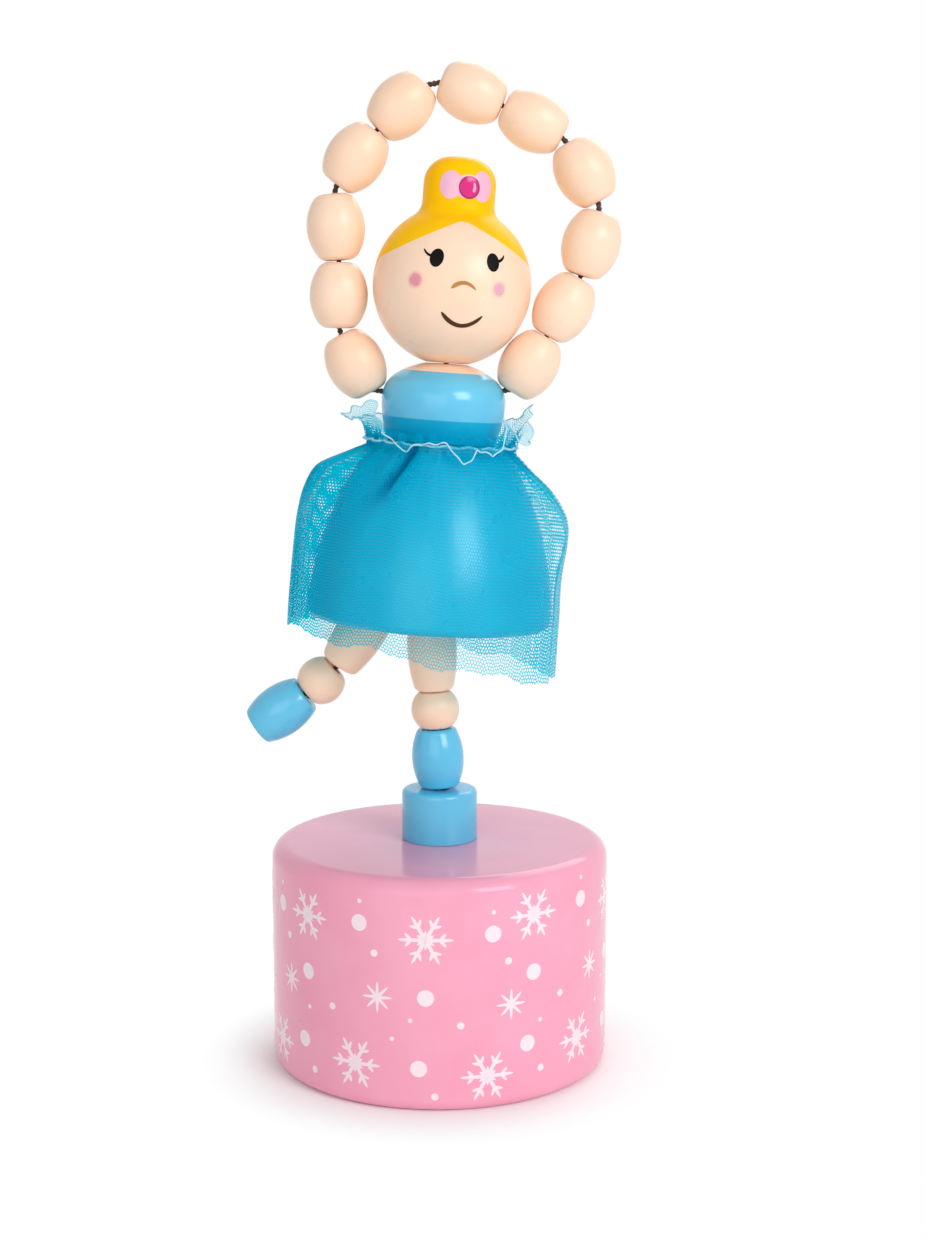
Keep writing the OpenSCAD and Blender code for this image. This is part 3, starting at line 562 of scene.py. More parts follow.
def head():
    """One turned piece: the hair is painted from a peaked hairline over the bun and down to the nape."""
    c = head_centre_z
    low = math.degrees(math.asin(-c / HEAD_R))
    meet = math.degrees(math.atan2(bun_base_z, bun_base_x))
    corners = [(0, HEAD_BORE_H, 0), (HEAD_BORE / 2, HEAD_BORE_H, 0), (HEAD_BORE / 2, 0, 0.2),
               (HEAD_FLAT / 2, 0, 0.3),
               *arc(0, c, HEAD_R, low, meet, 44)[1:],
               *arc(bun_base_x, c + bun_base_z, BUN_HOLLOW, 180 + meet, 180, 8)[1:],
               *arc(BUN_D / 2 - BUN_ROUND, c + bun_top - BUN_ROUND, BUN_ROUND, 0, 90, 16),
               (0, c + bun_top, 0)]
    bm = spun(corners, closed=False, sides=160)
    turn = Matrix.Rotation(math.radians(HAIR_TURN), 3, "Z")
    centre = Vector((0, 0, c))
    mirrored = Vector((-HAIRLINE_NORMAL.x, HAIRLINE_NORMAL.y, HAIRLINE_NORMAL.z))
    lines = [(turn @ HAIRLINE_NORMAL, HAIRLINE_REACH), (turn @ mirrored, HAIRLINE_REACH),
             (turn @ NAPE_NORMAL, NAPE_REACH)]
    for normal, reach in lines:
        bmesh.ops.bisect_plane(bm, geom=bm.verts[:] + bm.edges[:] + bm.faces[:], dist=1e-7,
                               plane_co=(centre + normal * reach) * MM, plane_no=normal)
    painted(bm, lambda at: int(any((at - centre).dot(normal) > reach for normal, reach in lines)))
    piece("painted_head", placed(bm, head_frame), [skin_lacquer, hair_lacquer], "head_lacquer", "head",
          ["head"])


head()


# Print and paint

def surface(outline, place, lift=INK_LIFT):
    """Place on a turned surface, by a turn and millimetres along the outline, lifted off it a little."""
    points = np.array([p[:2] for p in outline])
    runs = np.concatenate([[0], np.cumsum(np.linalg.norm(np.diff(points, axis=0), axis=1))])

    def at(turn, along):
        r, z = (np.interp(along, runs, points[:, k]) for k in (0, 1))
        ahead, behind = ([np.interp(along + d, runs, points[:, k]) for k in (0, 1)] for d in (0.05, -0.05))
        slope = math.atan2(ahead[1] - behind[1], ahead[0] - behind[0])
        r, z = r + lift * math.sin(slope), z - lift * math.cos(slope)
        a = math.radians(turn)
        return place @ (Vector((r * math.sin(a), -r * math.cos(a), z)) * MM), r
    return at


def spot(at, turn, along):
    """Flat drawing board, in millimetres right and up, laid on a surface with its middle at a place."""
    def laid(x, y):
        radius = at(turn, along + y)[1]
        return at(turn + math.degrees(x / radius), along + y)[0]
    return laid


def stroke(bm, board, start, end, bend=0.0, width=0.4, tip=None, steps=8):
    """A brush stroke between two points, bent to its left by a share of its length, with rounded ends."""
    tip = width if tip is None else tip
    start, end = Vector(start), Vector(end)
    across = Vector((start.y - end.y, end.x - start.x))
    middle = start.lerp(end, 0.5) + across * bend * 2
    grid = bmesh.ops.create_grid(bm, x_segments=steps, y_segments=2, size=0.5)["verts"]
    for vert in grid:
        t, side = vert.co.x + 0.5, vert.co.y * 2
        on = start.lerp(middle, t).lerp(middle.lerp(end, t), t)
        way = (middle - start).lerp(end - middle, t).normalized()
        half = (width + (tip - width) * t) / 2 * math.sqrt(max(1 - abs(2 * t - 1) ** 6, 0.05))
        on = on + Vector((-way.y, way.x)) * side * half
        vert.co = board(on.x, on.y)


def blot(bm, board, wide, tall=None, tilt=0.0, fade=None, cells=8):
    """An oval of ink: a grid whose square is drawn into a disc, so that it follows the surface."""
    tall = tall or wide
    lean = Matrix.Rotation(math.radians(tilt), 2)
    for vert in bmesh.ops.create_grid(bm, x_segments=cells, y_segments=cells, size=1)["verts"]:
        x, y = vert.co.x, vert.co.y
        disc = Vector((x * math.sqrt(1 - y * y / 2), y * math.sqrt(1 - x * x / 2)))
        if fade:
            vert[fade] = 1 - disc.length
        on = lean @ Vector((disc.x * wide / 2, disc.y * tall / 2))
        vert.co = board(on.x, on.y)


def inked(name, draw, finish, slot="head_lacquer", body="head", fade=False):
    """A thin coat of ink: draw puts its shapes on the surface, and a full coat reaches a little into it."""
    bm = bmesh.new()
    layer = bm.verts.layers.float.new("fade")
    if fade:
        draw(bm, layer)
    else:
        draw(bm)
        bmesh.ops.solidify(bm, geom=bm.faces[:], thickness=INK_T * MM)
        bmesh.ops.recalc_face_normals(bm, faces=bm.faces)
    return piece(name, bm, finish, slot, body)


# The print on the drum: a strip of flakes, stars and dots, whose two columns repeat round it
drum_line = [*arc(DRUM_D / 2 - DRUM_FOOT_ROUND, DRUM_FOOT_ROUND, DRUM_FOOT_ROUND, -90, 0, 16),
             *arc(DRUM_D / 2 - DRUM_TOP_ROUND, DRUM_H - DRUM_TOP_ROUND, DRUM_TOP_ROUND, 0, 90, 16)]
drum_side = surface(drum_line, Matrix.Identity(4))
# The way along the rounded foot is longer than its height by this much
FOOT_WRAP = (math.pi / 2 - 1) * DRUM_FOOT_ROUND
COLUMN_PERIOD, COLUMN_STEP, FIRST_COLUMN, COLUMNS = 80.4, 44, -47.9, 9
COLUMN_DROP, STRIP_SLANT = 2, 1.0
FLAKE_ARM, STAR_RAY = 3.9, 2.25
DOT, SPECK, FAINT_SPECK = 2.4, 1.05, 0.65
FLAKES = [(0, 27.1), (20, 6.9)]
STARS = [(28.1, 16.8)]
DOTS = [(21.8, 27.3, DOT), (0, 18.8, DOT), (-2.3, 8.6, DOT), (27.1, 23.1, SPECK), (11.2, 14.6, SPECK),
        (2.9, 4.5, SPECK), (22, 30.4, FAINT_SPECK), (39, 13.6, FAINT_SPECK), (33, 10.9, FAINT_SPECK)]


def polar(reach, angle):
    return Vector((math.cos(math.radians(angle)), math.sin(math.radians(angle)))) * reach


def flake(bm, board):
    """Six tapering arms with a pair of side branches each, and short rays between them."""
    for k in range(6):
        angle = 60 * k
        stroke(bm, board, (0, 0), polar(FLAKE_ARM, angle), width=0.6, tip=0.42)
        fork = polar(0.52 * FLAKE_ARM, angle)
        for side in (-48, 48):
            twig = fork + polar(0.33 * FLAKE_ARM, angle + side)
            stroke(bm, board, fork, twig, width=0.5, tip=0.38, steps=4)
        stroke(bm, board, (0, 0), polar(0.36 * FLAKE_ARM, angle + 30), width=0.55, tip=0.3, steps=4)


def star(bm, board):
    """Eight thin rays."""
    for k in range(8):
        stroke(bm, board, (0, 0), polar(STAR_RAY, 45 * k), width=0.56, tip=0.26, steps=5)


def drum_print(bm):
    for k in range(COLUMNS):
        column = FIRST_COLUMN + COLUMN_PERIOD * (k // 2) + COLUMN_STEP * (k % 2)
        drop = COLUMN_DROP * (k % 2)

        def board(turn, z):
            turn = column + turn
            return spot(drum_side, turn, FOOT_WRAP + z - drop + STRIP_SLANT * math.sin(math.radians(turn)))
        for turn, z in FLAKES:
            flake(bm, board(turn, z))
        for turn, z in STARS:
            star(bm, board(turn, z))
        for turn, z, wide in DOTS:
            blot(bm, board(turn, z), wide, cells=6)


inked("drum_print", drum_print, white_ink, "pink_lacquer", "base")

# The face: places are turns from the front and heights in degrees above the head's middle
face_low = 60
face_side = surface(arc(0, head_centre_z, HEAD_R, -face_low, face_low, 60), head_frame)


def on_face(turn, height):
    return spot(face_side, turn, math.radians(height + face_low) * HEAD_R)


EYES = [(-12.4, 17.4, -1), (30.4, 17.4, 1)]
EYE_W, EYE_H, CHEEK_D = 2.0, 2.7, 2.9


def eyes(bm):
    for turn, height, side in EYES:
        board = on_face(turn, height)
        blot(bm, board, EYE_W, EYE_H, tilt=-6)
        stroke(bm, board, (side * 0.8, 0.2), (side * 2.05, 1.25), bend=-0.12 * side, width=0.42, tip=0.22)


def cheek(turn, height):
    return lambda bm, fade: blot(bm, on_face(turn, height), CHEEK_D, fade=fade, cells=12)


def nose(bm):
    stroke(bm, on_face(8.7, -0.8), (-1.75, -0.4), (1.75, -0.4), bend=0.24, width=0.6, tip=0.34, steps=12)


def mouth(bm):
    stroke(bm, on_face(9.7, -24), (-2.95, 0.75), (2.95, 0.65), bend=-0.3, width=0.62, tip=0.5, steps=20)


inked("painted_eyes", eyes, black_ink)
inked("painted_right_cheek", cheek(-26.5, 1), pink_blush, fade=True)
inked("painted_left_cheek", cheek(35.6, -1.1), lilac_blush, fade=True)
inked("painted_nose", nose, nose_ink)
inked("painted_mouth", mouth, mouth_ink)

# The ornament on the bun: a pale bow with a jewel on it and a painted highlight on the jewel, each coat over the
# one before
bun_line = [(BUN_D / 2, head_centre_z + bun_base_z, 0),
            *arc(BUN_D / 2 - BUN_ROUND, head_centre_z + bun_top - BUN_ROUND, BUN_ROUND, 0, 80, 24)]
JEWEL_TURN, JEWEL_UP, JEWEL_D, JEWEL_RIM = 16, 2.1, 2.7, 0.22
# Each lobe of the bow: its place right of and above the jewel, its width and its height
BOW_LOBES = [(-2.75, 0.2, 3.3, 4.0), (2.2, 0.3, 3.5, 4.4), (-0.2, 0.1, 4.6, 3.3)]


def on_bun(coats, right=0.0, up=0.0):
    """Drawing board on the bun beside the jewel's middle, on top of a number of coats."""
    side = surface(bun_line, head_frame, lift=INK_LIFT * (1 + coats))
    return spot(side, JEWEL_TURN + math.degrees(right / (BUN_D / 2)), JEWEL_UP + up)


def bow(bm):
    for right, up, wide, tall in BOW_LOBES:
        blot(bm, on_bun(0, right, up), wide, tall)


# A pale pink crescent on the jewel's right: a painted highlight
def painted_jewel_highlight(bm):
    stroke(bm, on_bun(3), (0.55, -0.6), (0.55, 0.7), bend=-0.16, width=0.5, tip=0.3)


inked("bun_bow", bow, petal_ink)
inked("bun_jewel_rim", lambda bm: blot(bm, on_bun(1), JEWEL_D + 2 * JEWEL_RIM), jewel_rim_ink)
inked("bun_jewel", lambda bm: blot(bm, on_bun(2), JEWEL_D), jewel_ink)
inked("bun_jewel_glint", painted_jewel_highlight, jewel_highlight_ink)

# Cords

PLY_STEP, PLY_PITCH = 0.25, 1.3


def tube(name, paths, radius, cyclic=False):
    """Mesh of round tubes along lists of points in metres."""
    curve = bpy.data.curves.new(name, "CURVE")
    curve.dimensions = "3D"
    curve.bevel_depth = radius * MM
    curve.bevel_resolution = 2
    curve.use_fill_caps = True
    for path in paths:
        spline = curve.splines.new("POLY")
        spline.points.add(len(path) - 1)
        for point, place in zip(spline.points, path):
            point.co = (*place, 1)
        spline.use_cyclic_u = cyclic
    holder = bpy.data.objects.new(name, curve)
    scene.collection.objects.link(holder)
    bpy.context.view_layer.update()
    bm = bmesh.new()
    bm.from_mesh(bpy.data.meshes.new_from_object(holder.evaluated_get(bpy.context.evaluated_depsgraph_get())))
    bpy.data.objects.remove(holder)
    bmesh.ops.recalc_face_normals(bm, faces=bm.faces)
    return bm


def resampled(points, step):
    """Points a step apart along a route, all in metres."""
    points = np.array([tuple(p) for p in points])
    runs = np.concatenate([[0], np.cumsum(np.linalg.norm(np.diff(points, axis=0), axis=1))])
    spread = np.linspace(0, runs[-1], max(3, int(runs[-1] / step)))
    return [Vector([np.interp(s, runs, points[:, k]) for k in range(3)]) for s in spread], spread


def plies(route, spot_xy=(0, 0)):
    """Two twisted plies along a route that lies in the XZ plane, beside it by a spot's offsets in mm."""
    places, spread = resampled(route, PLY_STEP * MM)
    twisted = []
    for phase in (0, math.pi):
        path = []
        for k, (place, s) in enumerate(zip(places, spread)):
            way = (places[min(k + 1, len(places) - 1)] - places[max(k - 1, 0)]).normalized()
            back = Vector((0, 1, 0))
            side = back.cross(way)
            twist = 2 * math.pi * s / (PLY_PITCH * MM) + phase
            out = CORD_D / 4
            offset = side * (spot_xy[0] + out * math.cos(twist)) + back * (spot_xy[1] + out * math.sin(twist))
            path.append(place + offset * MM)
        twisted.append(path)
    return twisted


ONE_SPOT = [(0, 0)]
FOUR_SPOTS = [(x, y) for x in (-CORD_SPOT, CORD_SPOT) for y in (-CORD_SPOT, CORD_SPOT)]


def cord(name, route, spots, bodies, stands_for, bend_start=None):
    """Twisted cord along a route of four points. It rides on its body if both ends are on one; otherwise it stays
    where it is made.
    """
    bm = tube(name, [path for s in spots for path in plies(route, s)], CORD_D / 4)
    obj = piece(name, bm, cotton_twine, "twine", stands_for=stands_for)
    if bodies[0] == bodies[1]:
        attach(obj, bodies[0])
    else:
        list(bodies)
        tuple(bend_start or route[1])
        tuple(route[2])
        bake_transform(obj)


# Shares of a bead's length where its cord bends and ends, and of the way from an arm to the bodice's middle
BEND_IN, MIDDLE, SHOULDER_OUT = 0.06, 0.5, 0.2
# Millimetres that a cord runs on from a seat until it bends, and until it ends
PEG_BEND, PEG_END = 0.5, 3
HIP_BEND, DRESS_END = 3, 12
TOP_BEND, WAIST_BEND, BODICE_END = 0.5, 0.7, 6
HEAD_BEND, HEAD_END = 0.6, 8
RAISED_BEND, RAISED_END = 1.5, 3


def joint_cord(name, low, high, spots, cord_node):
    """Cord from the middle of one bead to the middle of the next."""
    route = [along_bead(low, MIDDLE), along_bead(low, 1 - BEND_IN), along_bead(high, BEND_IN),
             along_bead(high, MIDDLE)]
    cord(name, route, spots, (BODY_OF[low], BODY_OF[high]), [cord_node])


peg_top, peg_up = Vector((0, 0, (DRUM_H + PEG_H) * MM)), Vector((0, 0, 1))
cord("shoe_cords", [peg_top - peg_up * PEG_END * MM, peg_top, along_bead("standing_shoe", BEND_IN),
                    along_bead("standing_shoe", MIDDLE)],
     FOUR_SPOTS, ("base", "standing_shoe"), ["standing_shoe_cords"], peg_top - peg_up * PEG_BEND * MM)
joint_cord("ankle_cords", "standing_shoe", "standing_ankle", FOUR_SPOTS, "standing_ankle_cords")
joint_cord("thigh_cords", "standing_ankle", "standing_thigh", FOUR_SPOTS, "standing_thigh_cords")
in_dress, in_bodice = dress_at + body_up * DRESS_END * MM, bodice_at + body_up * BODICE_END * MM
cord("hip_cords", [along_bead("standing_thigh", MIDDLE), along_bead("standing_thigh", 1 - BEND_IN),
                   dress_at + body_up * HIP_BEND * MM, in_dress],
     FOUR_SPOTS, ("standing_thigh", "dress"), ["dress_cords"])
cord("waist_cords", [in_dress, dress_at + body_up * (DRESS_H - TOP_BEND) * MM,
                     bodice_at + body_up * WAIST_BEND * MM, in_bodice],
     FOUR_SPOTS[:3], ("dress", "bodice"), ["bodice_cords"])
head_up = head_frame.to_3x3() @ Vector((0, 0, 1))
cord("neck_cord", [in_bodice, bodice_at + body_up * (BODICE_H - TOP_BEND) * MM,
                   head_at + head_up * HEAD_BEND * MM, head_at + head_up * HEAD_END * MM],
     ONE_SPOT, ("bodice", "head"), ["head_cord"])
raised_way = bead_frame["raised_thigh"].to_3x3() @ Vector((0, 0, 1))
raised_in = along_bead("raised_thigh", 0) - raised_way * RAISED_BEND * MM
cord("raised_hip_cord", [raised_in - raised_way * RAISED_END * MM, raised_in,
                         along_bead("raised_thigh", BEND_IN), along_bead("raised_thigh", MIDDLE)],
     ONE_SPOT, ("dress", "raised_thigh"), ["raised_thigh_cord"])
joint_cord("raised_ankle_string", "raised_thigh", "raised_ankle", ONE_SPOT, "raised_ankle_cord")
joint_cord("raised_shoe_string", "raised_ankle", "raised_shoe", ONE_SPOT, "raised_shoe_cord")

# The loop through the arms: from each shoulder to the top of the ring
turn_at = bodice_at + body_up * BODICE_MID_H * MM
for arm in (RIGHT_ARM, LEFT_ARM):
    cord_node = arm[0].replace("bead", "cord")
    start = along_bead(arm[0], BEND_IN)
    route = [turn_at, start.lerp(turn_at, SHOULDER_OUT), start, along_bead(arm[0], MIDDLE)]
    cord(f"shoulder_{cord_node}", route, ONE_SPOT, ("bodice", BODY_OF[arm[0]]), [cord_node])
    for before, after in zip(arm, arm[1:]):
        cord_node = after.replace("bead", "cord")
        joint_cord(f"strung_{cord_node}", before, after, ONE_SPOT, cord_node)
top_route = [along_bead(RIGHT_ARM[-1], share) for share in (MIDDLE, 1 - BEND_IN)]
top_route += [along_bead(LEFT_ARM[-1], share) for share in (1 - BEND_IN, MIDDLE)]
cord("arm_top_string", top_route, ONE_SPOT, (BODY_OF[RIGHT_ARM[-1]], BODY_OF[LEFT_ARM[-1]]), [])

# Cords, spring and knot in the drum
low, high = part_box("base_cords")
BUTTON_TRAVEL, DRUM_CORDS_SHORT = 7, 2.6
base_route = [Vector((0, 0, low.z)), Vector((0, 0, high.z - DRUM_CORDS_SHORT * MM))]
base_paths = [path for s in FOUR_SPOTS for path in plies(base_route, s)]
base_cords = piece("drum_cords", tube("drum_cords", base_paths, CORD_D / 4), cotton_twine, "twine",
                   stands_for=["base_cords"])
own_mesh(base_cords)
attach(base_cords, "base")

low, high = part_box("return_spring")
SPRING_STEPS = 40
turns = np.linspace(0, SPRING_TURNS, SPRING_TURNS * SPRING_STEPS + 1)
coil_r, coil_rise = SPRING_D / 2 * MM, high.z - low.z - SPRING_WIRE * MM
coil = [Vector((coil_r * math.cos(2 * math.pi * t), coil_r * math.sin(2 * math.pi * t),
                low.z + SPRING_WIRE / 2 * MM + coil_rise * t / SPRING_TURNS)) for t in turns]
spring = piece("coil_spring", tube("coil_spring", [coil], SPRING_WIRE / 2), steel_wire, "spring_steel",
               stands_for=["return_spring"])
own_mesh(spring)
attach(spring, "base")

low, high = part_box("button_knot")
KNOT_R, KNOT_WAVE, KNOT_LOW, KNOT_CORD_R, KNOT_POINTS = 1.15, 0.5, 1.7, CORD_D / 2 + 0.1, 120
knot_z = high.z - KNOT_LOW * MM
turns = np.linspace(0, 2 * math.pi, KNOT_POINTS + 1)[:-1]
trefoil = [Vector(((math.sin(t) + 2 * math.sin(2 * t)) * KNOT_R / 2 * MM,
                   (math.cos(t) - 2 * math.cos(2 * t)) * KNOT_R / 2 * MM,
                   knot_z - math.sin(3 * t) * KNOT_WAVE * MM)) for t in turns]
knot = tube("knot", [trefoil], KNOT_CORD_R, cyclic=True)
piece("tied_knot", knot, cotton_twine, "twine", BODY_OF["button_knot"], ["button_knot"])


# Net skirt

low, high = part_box("waist_thread")
GATHER_R = (high.y - low.y) / 2 / MM - 0.7
dress_frame = leaning(dress_at, BODY_LEAN)
GATHER_Z = (((low + high) / 2 - dress_at).dot(body_up)) / MM
FLAT_W, FRILL_L, SKIRT_L = 150, 5, 32
EDGE_POINTS, SELVEDGE_R = 480, 0.095
# More of the net's width is gathered on the doll's right, some on its left and in the fold, and less in
# front; the frill's edge opens out
RIGHT_CROWD, LEFT_CROWD, FOLD_CROWD, FRONT_OPEN, FRILL_OPEN = 1.9, 0.5, 1.2, 0.25, 0.45
COLUMNS_ROUND, FRILL_ROWS, SKIRT_ROWS = 480, 18, 70
dress_arc_r = (DRESS_H ** 2 + ((DRESS_D - DRESS_TOP_D) / 2) ** 2) / (DRESS_D - DRESS_TOP_D)


def dress_r(z):
    z = min(max(z, 0), DRESS_H)
    return DRESS_D / 2 - dress_arc_r + math.sqrt(dress_arc_r ** 2 - z ** 2)


def ease_in(x):
    x = min(max(x, 0), 1)
    return x * x * (3 - 2 * x)


def hump(x, middle, width):
    return math.exp(-((x - middle) / width) ** 2)


def near_turn(turn, middle, width):
    away = (turn - middle + 180) % 360 - 180
    return math.exp(-(away / width) ** 2)


def hem_drop(turn):
    """How far the hem hangs below the dress's foot: lower on the doll's left, and cut unevenly."""
    a = math.radians(turn)
    ragged = 0.09 * math.sin(61 * a) + 0.07 * math.sin(97 * a + 2) + 0.05 * math.sin(143 * a + 1)
    return 4.6 + 3.0 * math.sin(a - 0.35) + 0.4 * math.sin(7 * a + 1) + 0.25 * math.sin(17 * a) + ragged


def pleats(turn, down):
    """How far the folds stand out: fine pleats at the gather, which run together into wide folds."""
    a = math.radians(turn)
    loose = 0.35 + 0.65 * math.sin(a) ** 2 if abs(turn) < 90 else 1.0
    fine = 0.42 * math.cos(42 * a + 2 * math.sin(3 * a)) * math.exp(-down / 0.09)
    middle = 0.55 * math.cos(21 * a + 1.3 * math.sin(2 * a + 0.7)) * hump(down, 0.14, 0.2)
    wide = 0.75 * math.cos(10 * a + 0.9 * math.sin(2 * a) + 0.6 + 0.5 * down) * ease_in(down / 0.5) * loose
    return fine + middle + wide


def fold_turn(down):
    """Turn at which the deep fold in front runs, from the gather down to the doll's right."""
    return -14 - 50 * down


def stand_off(turn, down):
    """How far the net stands off the dress, without its folds."""
    right = near_turn(turn, -95, 55)
    left = near_turn(turn, 80, 48)
    back = near_turn(turn, 180, 60)
    puff = right * (1.6 + 3.1 * hump(down, 0.2, 0.38)) + left * (0.35 + 3.3 * hump(down, 0.31, 0.19))
    puff += back * (1.2 + 2.6 * hump(down, 0.2, 0.3))
    fold = -1.0 * near_turn(turn, fold_turn(down) - 6, 6) + 3.0 * near_turn(turn, fold_turn(down) + 4, 4)
    return 0.75 + puff * ease_in(down / 0.18) + fold * hump(down, 0.17, 0.15)


def skirt_point(turn, down):
    z = GATHER_Z - down * (GATHER_Z + hem_drop(turn))
    close = dress_r(z) if z < DRESS_H else DRESS_TOP_D / 2
    r = close + stand_off(turn, down) * ease_in(0.1 + down / 0.06) + pleats(turn, down)
    start = ease_in(down / 0.05)
    r = r * start + (GATHER_R + pleats(turn, 0)) * (1 - start)
    return max(r, close + 0.2), z


# Edge of the frill round the waist: a turn, the reach from the dress's axis, and the height above the gather
FRILL_EDGE = [(-180, 13.2, 3.6), (-140, 13.4, 3.2), (-108, 14.4, 2.4), (-95, 14.6, 3.0), (-76, 12.6, 4.6),
              (-64, 10.9, 5.6), (-52, 11.4, 3.2), (-39, 12.0, 0.8), (-23, 12.2, -0.9), (-14, 12.2, 0.15),
              (3.3, 12.2, 0.5), (16.5, 12.3, -2.1), (21, 12.3, -1.8), (25.5, 12.2, -0.2), (31, 12.2, -0.3),
              (37, 12.2, -1.0), (45, 12.2, -0.2), (49, 12.0, 2.8), (53, 11.2, 4.6), (62, 11.6, 2.4),
              (72, 13.1, 0.6), (82, 13.2, 1.4), (95, 12.8, 4.4), (108, 13.6, 6.2), (122, 13.2, 4.0),
              (150, 13.4, 3.0)]
# The frill rises from the gather towards this place, out and up, before it bends to its edge
FRILL_BEND_OUT, FRILL_BEND_UP = 1.2, 3.3


def along_table(table, turn):
    """Values of a table at a turn, eased from each row to the next all the way round."""
    rows = table + [(table[0][0] + 360, *table[0][1:])]
    k = max(i for i in range(len(table)) if rows[i][0] <= turn)
    share = ease_in((turn - rows[k][0]) / (rows[k + 1][0] - rows[k][0]))
    return [a + (b - a) * share for a, b in zip(rows[k][1:], rows[k + 1][1:])]


def frill_point(turn, up):
    edge_r, edge_z = along_table(FRILL_EDGE, turn)
    a = math.radians(turn)
    ruffle = 0.32 * math.sin(31 * a + 1.5 * math.sin(3 * a)) * up
    rise, bend, fall = (1 - up) ** 2, 2 * up * (1 - up), up ** 2
    r = rise * (GATHER_R + pleats(turn, 0)) + bend * (GATHER_R + FRILL_BEND_OUT) + fall * edge_r
    z = GATHER_Z + bend * FRILL_BEND_UP + fall * edge_z
    return r + ruffle, z + ruffle / 2


def round_dress(turn, r, z):
    """Point round the dress's own axis, in metres."""
    a = math.radians(turn)
    return dress_frame @ (Vector((r * math.sin(a), -r * math.cos(a), z)) * MM)


def net_skirt():
    """One gathered strip of net, sewn into a ring at the back: a frill above the gather, the skirt below."""
    bm = bmesh.new()
    rows = FRILL_ROWS + SKIRT_ROWS
    bmesh.ops.create_grid(bm, x_segments=COLUMNS_ROUND, y_segments=rows, size=0.5)
    flat = bm.loops.layers.uv.new("flat")
    length = FRILL_L + SKIRT_L
    for face in bm.faces:
        for loop in face.loops:
            loop[flat].uv = ((loop.vert.co.x + 0.5) * FLAT_W, (loop.vert.co.y + 0.5) * length)
    bunched = bm.verts.layers.float.new("bunched")
    layers = bm.verts.layers.float.new("layers")
    gather = SKIRT_ROWS / rows
    for vert in bm.verts:
        turn = -180 + 360 * (vert.co.x + 0.5)
        v = vert.co.y + 0.5
        if v > gather + 1e-6:
            up = (v - gather) / (1 - gather)
            r, z = frill_point(turn, up)
            crowd = 1 - FRILL_OPEN * up
        else:
            down = 1 - v / gather
            r, z = skirt_point(turn, down)
            crowd = 1 + RIGHT_CROWD * near_turn(turn, -100, 45) + LEFT_CROWD * near_turn(turn, 85, 40)
            # The deep fold: there the net is gathered tighter, and its threads are darkened, partly for
            # overlapping layers and partly as painted shade of the fold
            fold_layers_and_shade = near_turn(turn, fold_turn(down) - 4, 4.5) * (1 - ease_in((down - 0.16) / 0.2))
            crowd += FOLD_CROWD * fold_layers_and_shade - FRONT_OPEN * near_turn(turn, 15, 35)
            vert[layers] = fold_layers_and_shade
        vert.co = round_dress(turn, r, z)
        vert[bunched] = crowd * FLAT_W / (2 * math.pi * r)
    bmesh.ops.remove_doubles(bm, verts=bm.verts, dist=1e-6)
    skirt = piece("gathered_net_skirt", bm, tulle_net, "tulle", "dress", ["tulle_skirt"], sharp=180)
    # A pale yarn along the frill's edge: partly the net's edge thread, partly a painted highlight of the curled
    # edge
    edge_turns = np.linspace(-180, 180, EDGE_POINTS + 1)[:-1]
    edge = [round_dress(turn, *frill_point(turn, 1)) for turn in edge_turns]
    selvedge = piece("frill_selvedge", tube("frill_selvedge", [edge], SELVEDGE_R, cyclic=True), pale_edge_yarn,
                     "tulle_thread", "dress")


net_skirt()


STITCH_R, STITCH_OUT, STITCH_WAVE, STITCH_RISE = 0.17, 0.5, 0.3, 0.12


def gather_thread():
    """Running stitches that draw the net in at the waist."""
    path = []
    for turn in range(-180, 180):
        a = math.radians(turn)
        path.append(round_dress(turn, GATHER_R + STITCH_OUT + STITCH_WAVE * math.cos(42 * a),
                                GATHER_Z + STITCH_RISE * math.sin(21 * a)))
    piece("gather_stitches", tube("gather_stitches", [path], STITCH_R, cyclic=True), sewing_thread,
          "tulle_thread", "dress", ["waist_thread"])


gather_thread()

# Floor, light and background

FLOOR_SIZE, SHADOW_FULL, SHADOW_GONE = 8, 0.022, 0.037


def shows_background(tree):
    """1 for rays that show the background itself: the camera's, those in a gloss and through the net."""
    ray = add(tree, "ShaderNodeLightPath")
    seen = add(tree, "ShaderNodeMath", {0: ray.outputs["Is Camera Ray"], 1: ray.outputs["Is Glossy Ray"]},
               operation="MAXIMUM").outputs["Value"]
    return add(tree, "ShaderNodeMath", {0: seen, 1: ray.outputs["Is Transmission Ray"]},
               operation="MAXIMUM").outputs["Value"]


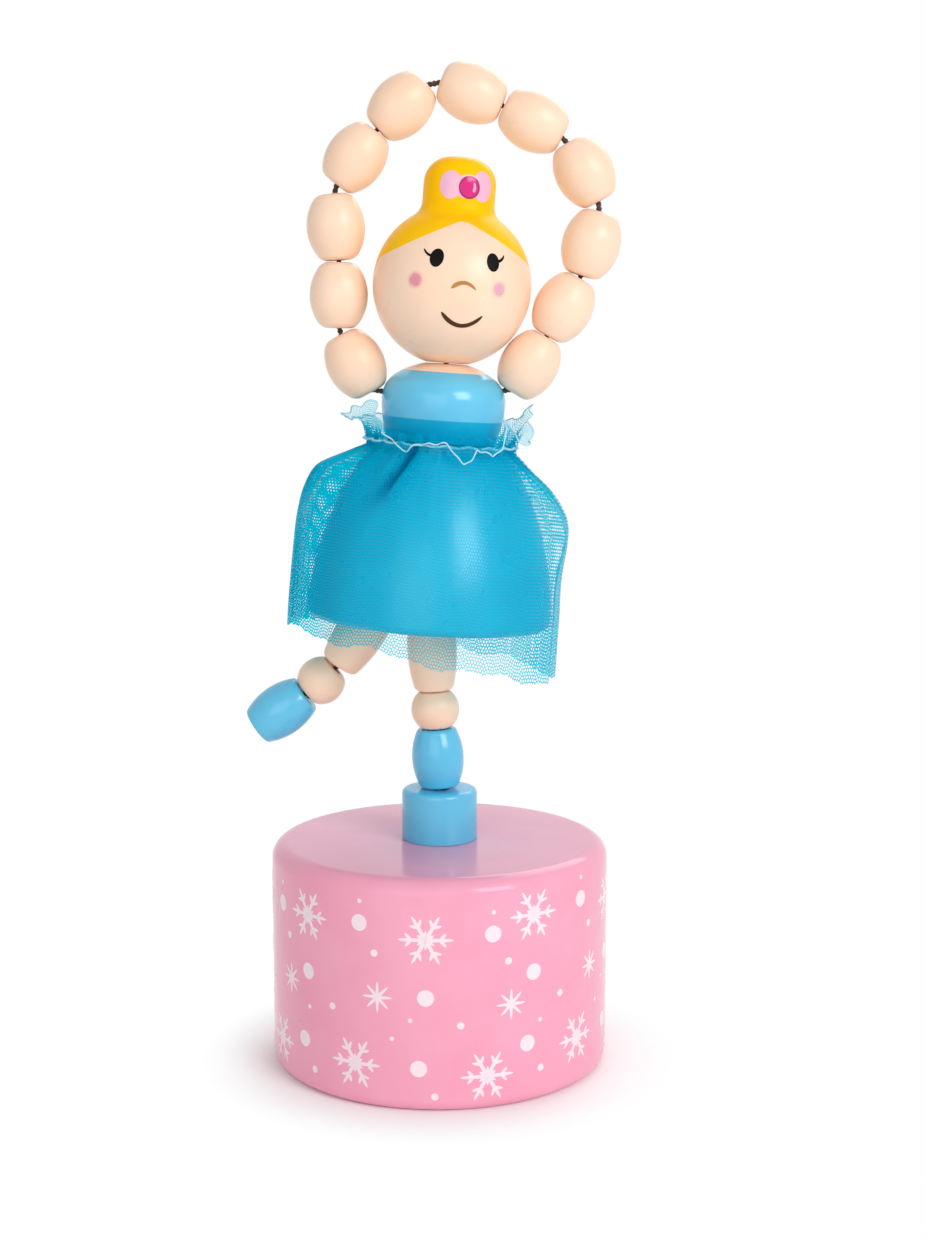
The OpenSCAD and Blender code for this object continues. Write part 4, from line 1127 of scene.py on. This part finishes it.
def stage_floor():
    """A pale floor that keeps the shadow near the object and fades into the white background."""
    material, tree, shader = started("pale_studio_floor", Roughness=0.9)
    shader.inputs["Base Color"].default_value = linear("#FFFEFE")
    where = add(tree, "ShaderNodeTexCoord").outputs["Object"]
    away = add(tree, "ShaderNodeVectorMath", {0: where}, operation="LENGTH").outputs["Value"]
    fade = add(tree, "ShaderNodeMapRange", {"Value": away, "From Min": SHADOW_FULL, "From Max": SHADOW_GONE},
               interpolation_type="SMOOTHSTEP").outputs["Result"]
    share = add(tree, "ShaderNodeMath", {0: fade, 1: shows_background(tree)},
                operation="MULTIPLY").outputs["Value"]
    white = add(tree, "ShaderNodeEmission", {"Color": (1, 1, 1, 1), "Strength": 1.0})
    mixed = add(tree, "ShaderNodeMixShader",
                {0: share, 1: shader.outputs["BSDF"], 2: white.outputs["Emission"]})
    tree.links.new(mixed.outputs["Shader"], tree.nodes["Material Output"].inputs["Surface"])
    bm = bmesh.new()
    bmesh.ops.create_grid(bm, x_segments=4, y_segments=4, size=FLOOR_SIZE / 2)
    mesh = bpy.data.meshes.new("floor")
    bm.to_mesh(mesh)
    bm.free()
    mesh.materials.append(material)
    floor = bpy.data.objects.new("floor", mesh)
    scene.collection.objects.link(floor)


def white_world(ambient):
    """An even white room: seen directly or in a gloss it is white, and it lights the object softly."""
    world = bpy.data.worlds.new("white_room")
    world.use_nodes = True
    tree = world.node_tree
    strength = add(tree, "ShaderNodeMapRange",
                   {"Value": shows_background(tree), "To Min": ambient, "To Max": 1.0})
    back = tree.nodes["Background"]
    back.inputs["Color"].default_value = (1, 1, 1, 1)
    tree.links.new(strength.outputs["Result"], back.inputs["Strength"])
    scene.world = world


LIGHT_AIM = (0, 0, 0.075)


def softbox(name, at, size, watts):
    """A square soft light that points at the middle of the object."""
    data = bpy.data.lights.new(name, "AREA")
    data.size = size
    data.energy = watts
    lamp = bpy.data.objects.new(name, data)
    lamp.location = at
    aim = Vector(LIGHT_AIM) - lamp.location
    lamp.rotation_euler = aim.to_track_quat("-Z", "Y").to_euler()
    scene.collection.objects.link(lamp)


stage_floor()
white_world(ambient=0.48)
softbox("key_light", (0.42, -0.52, 0.4), 0.34, 2.4)
softbox("front_light", (-0.2, -0.75, 0.2), 0.6, 1.35)
softbox("back_light", (0.2, 0.5, 0.6), 0.5, 1.6)
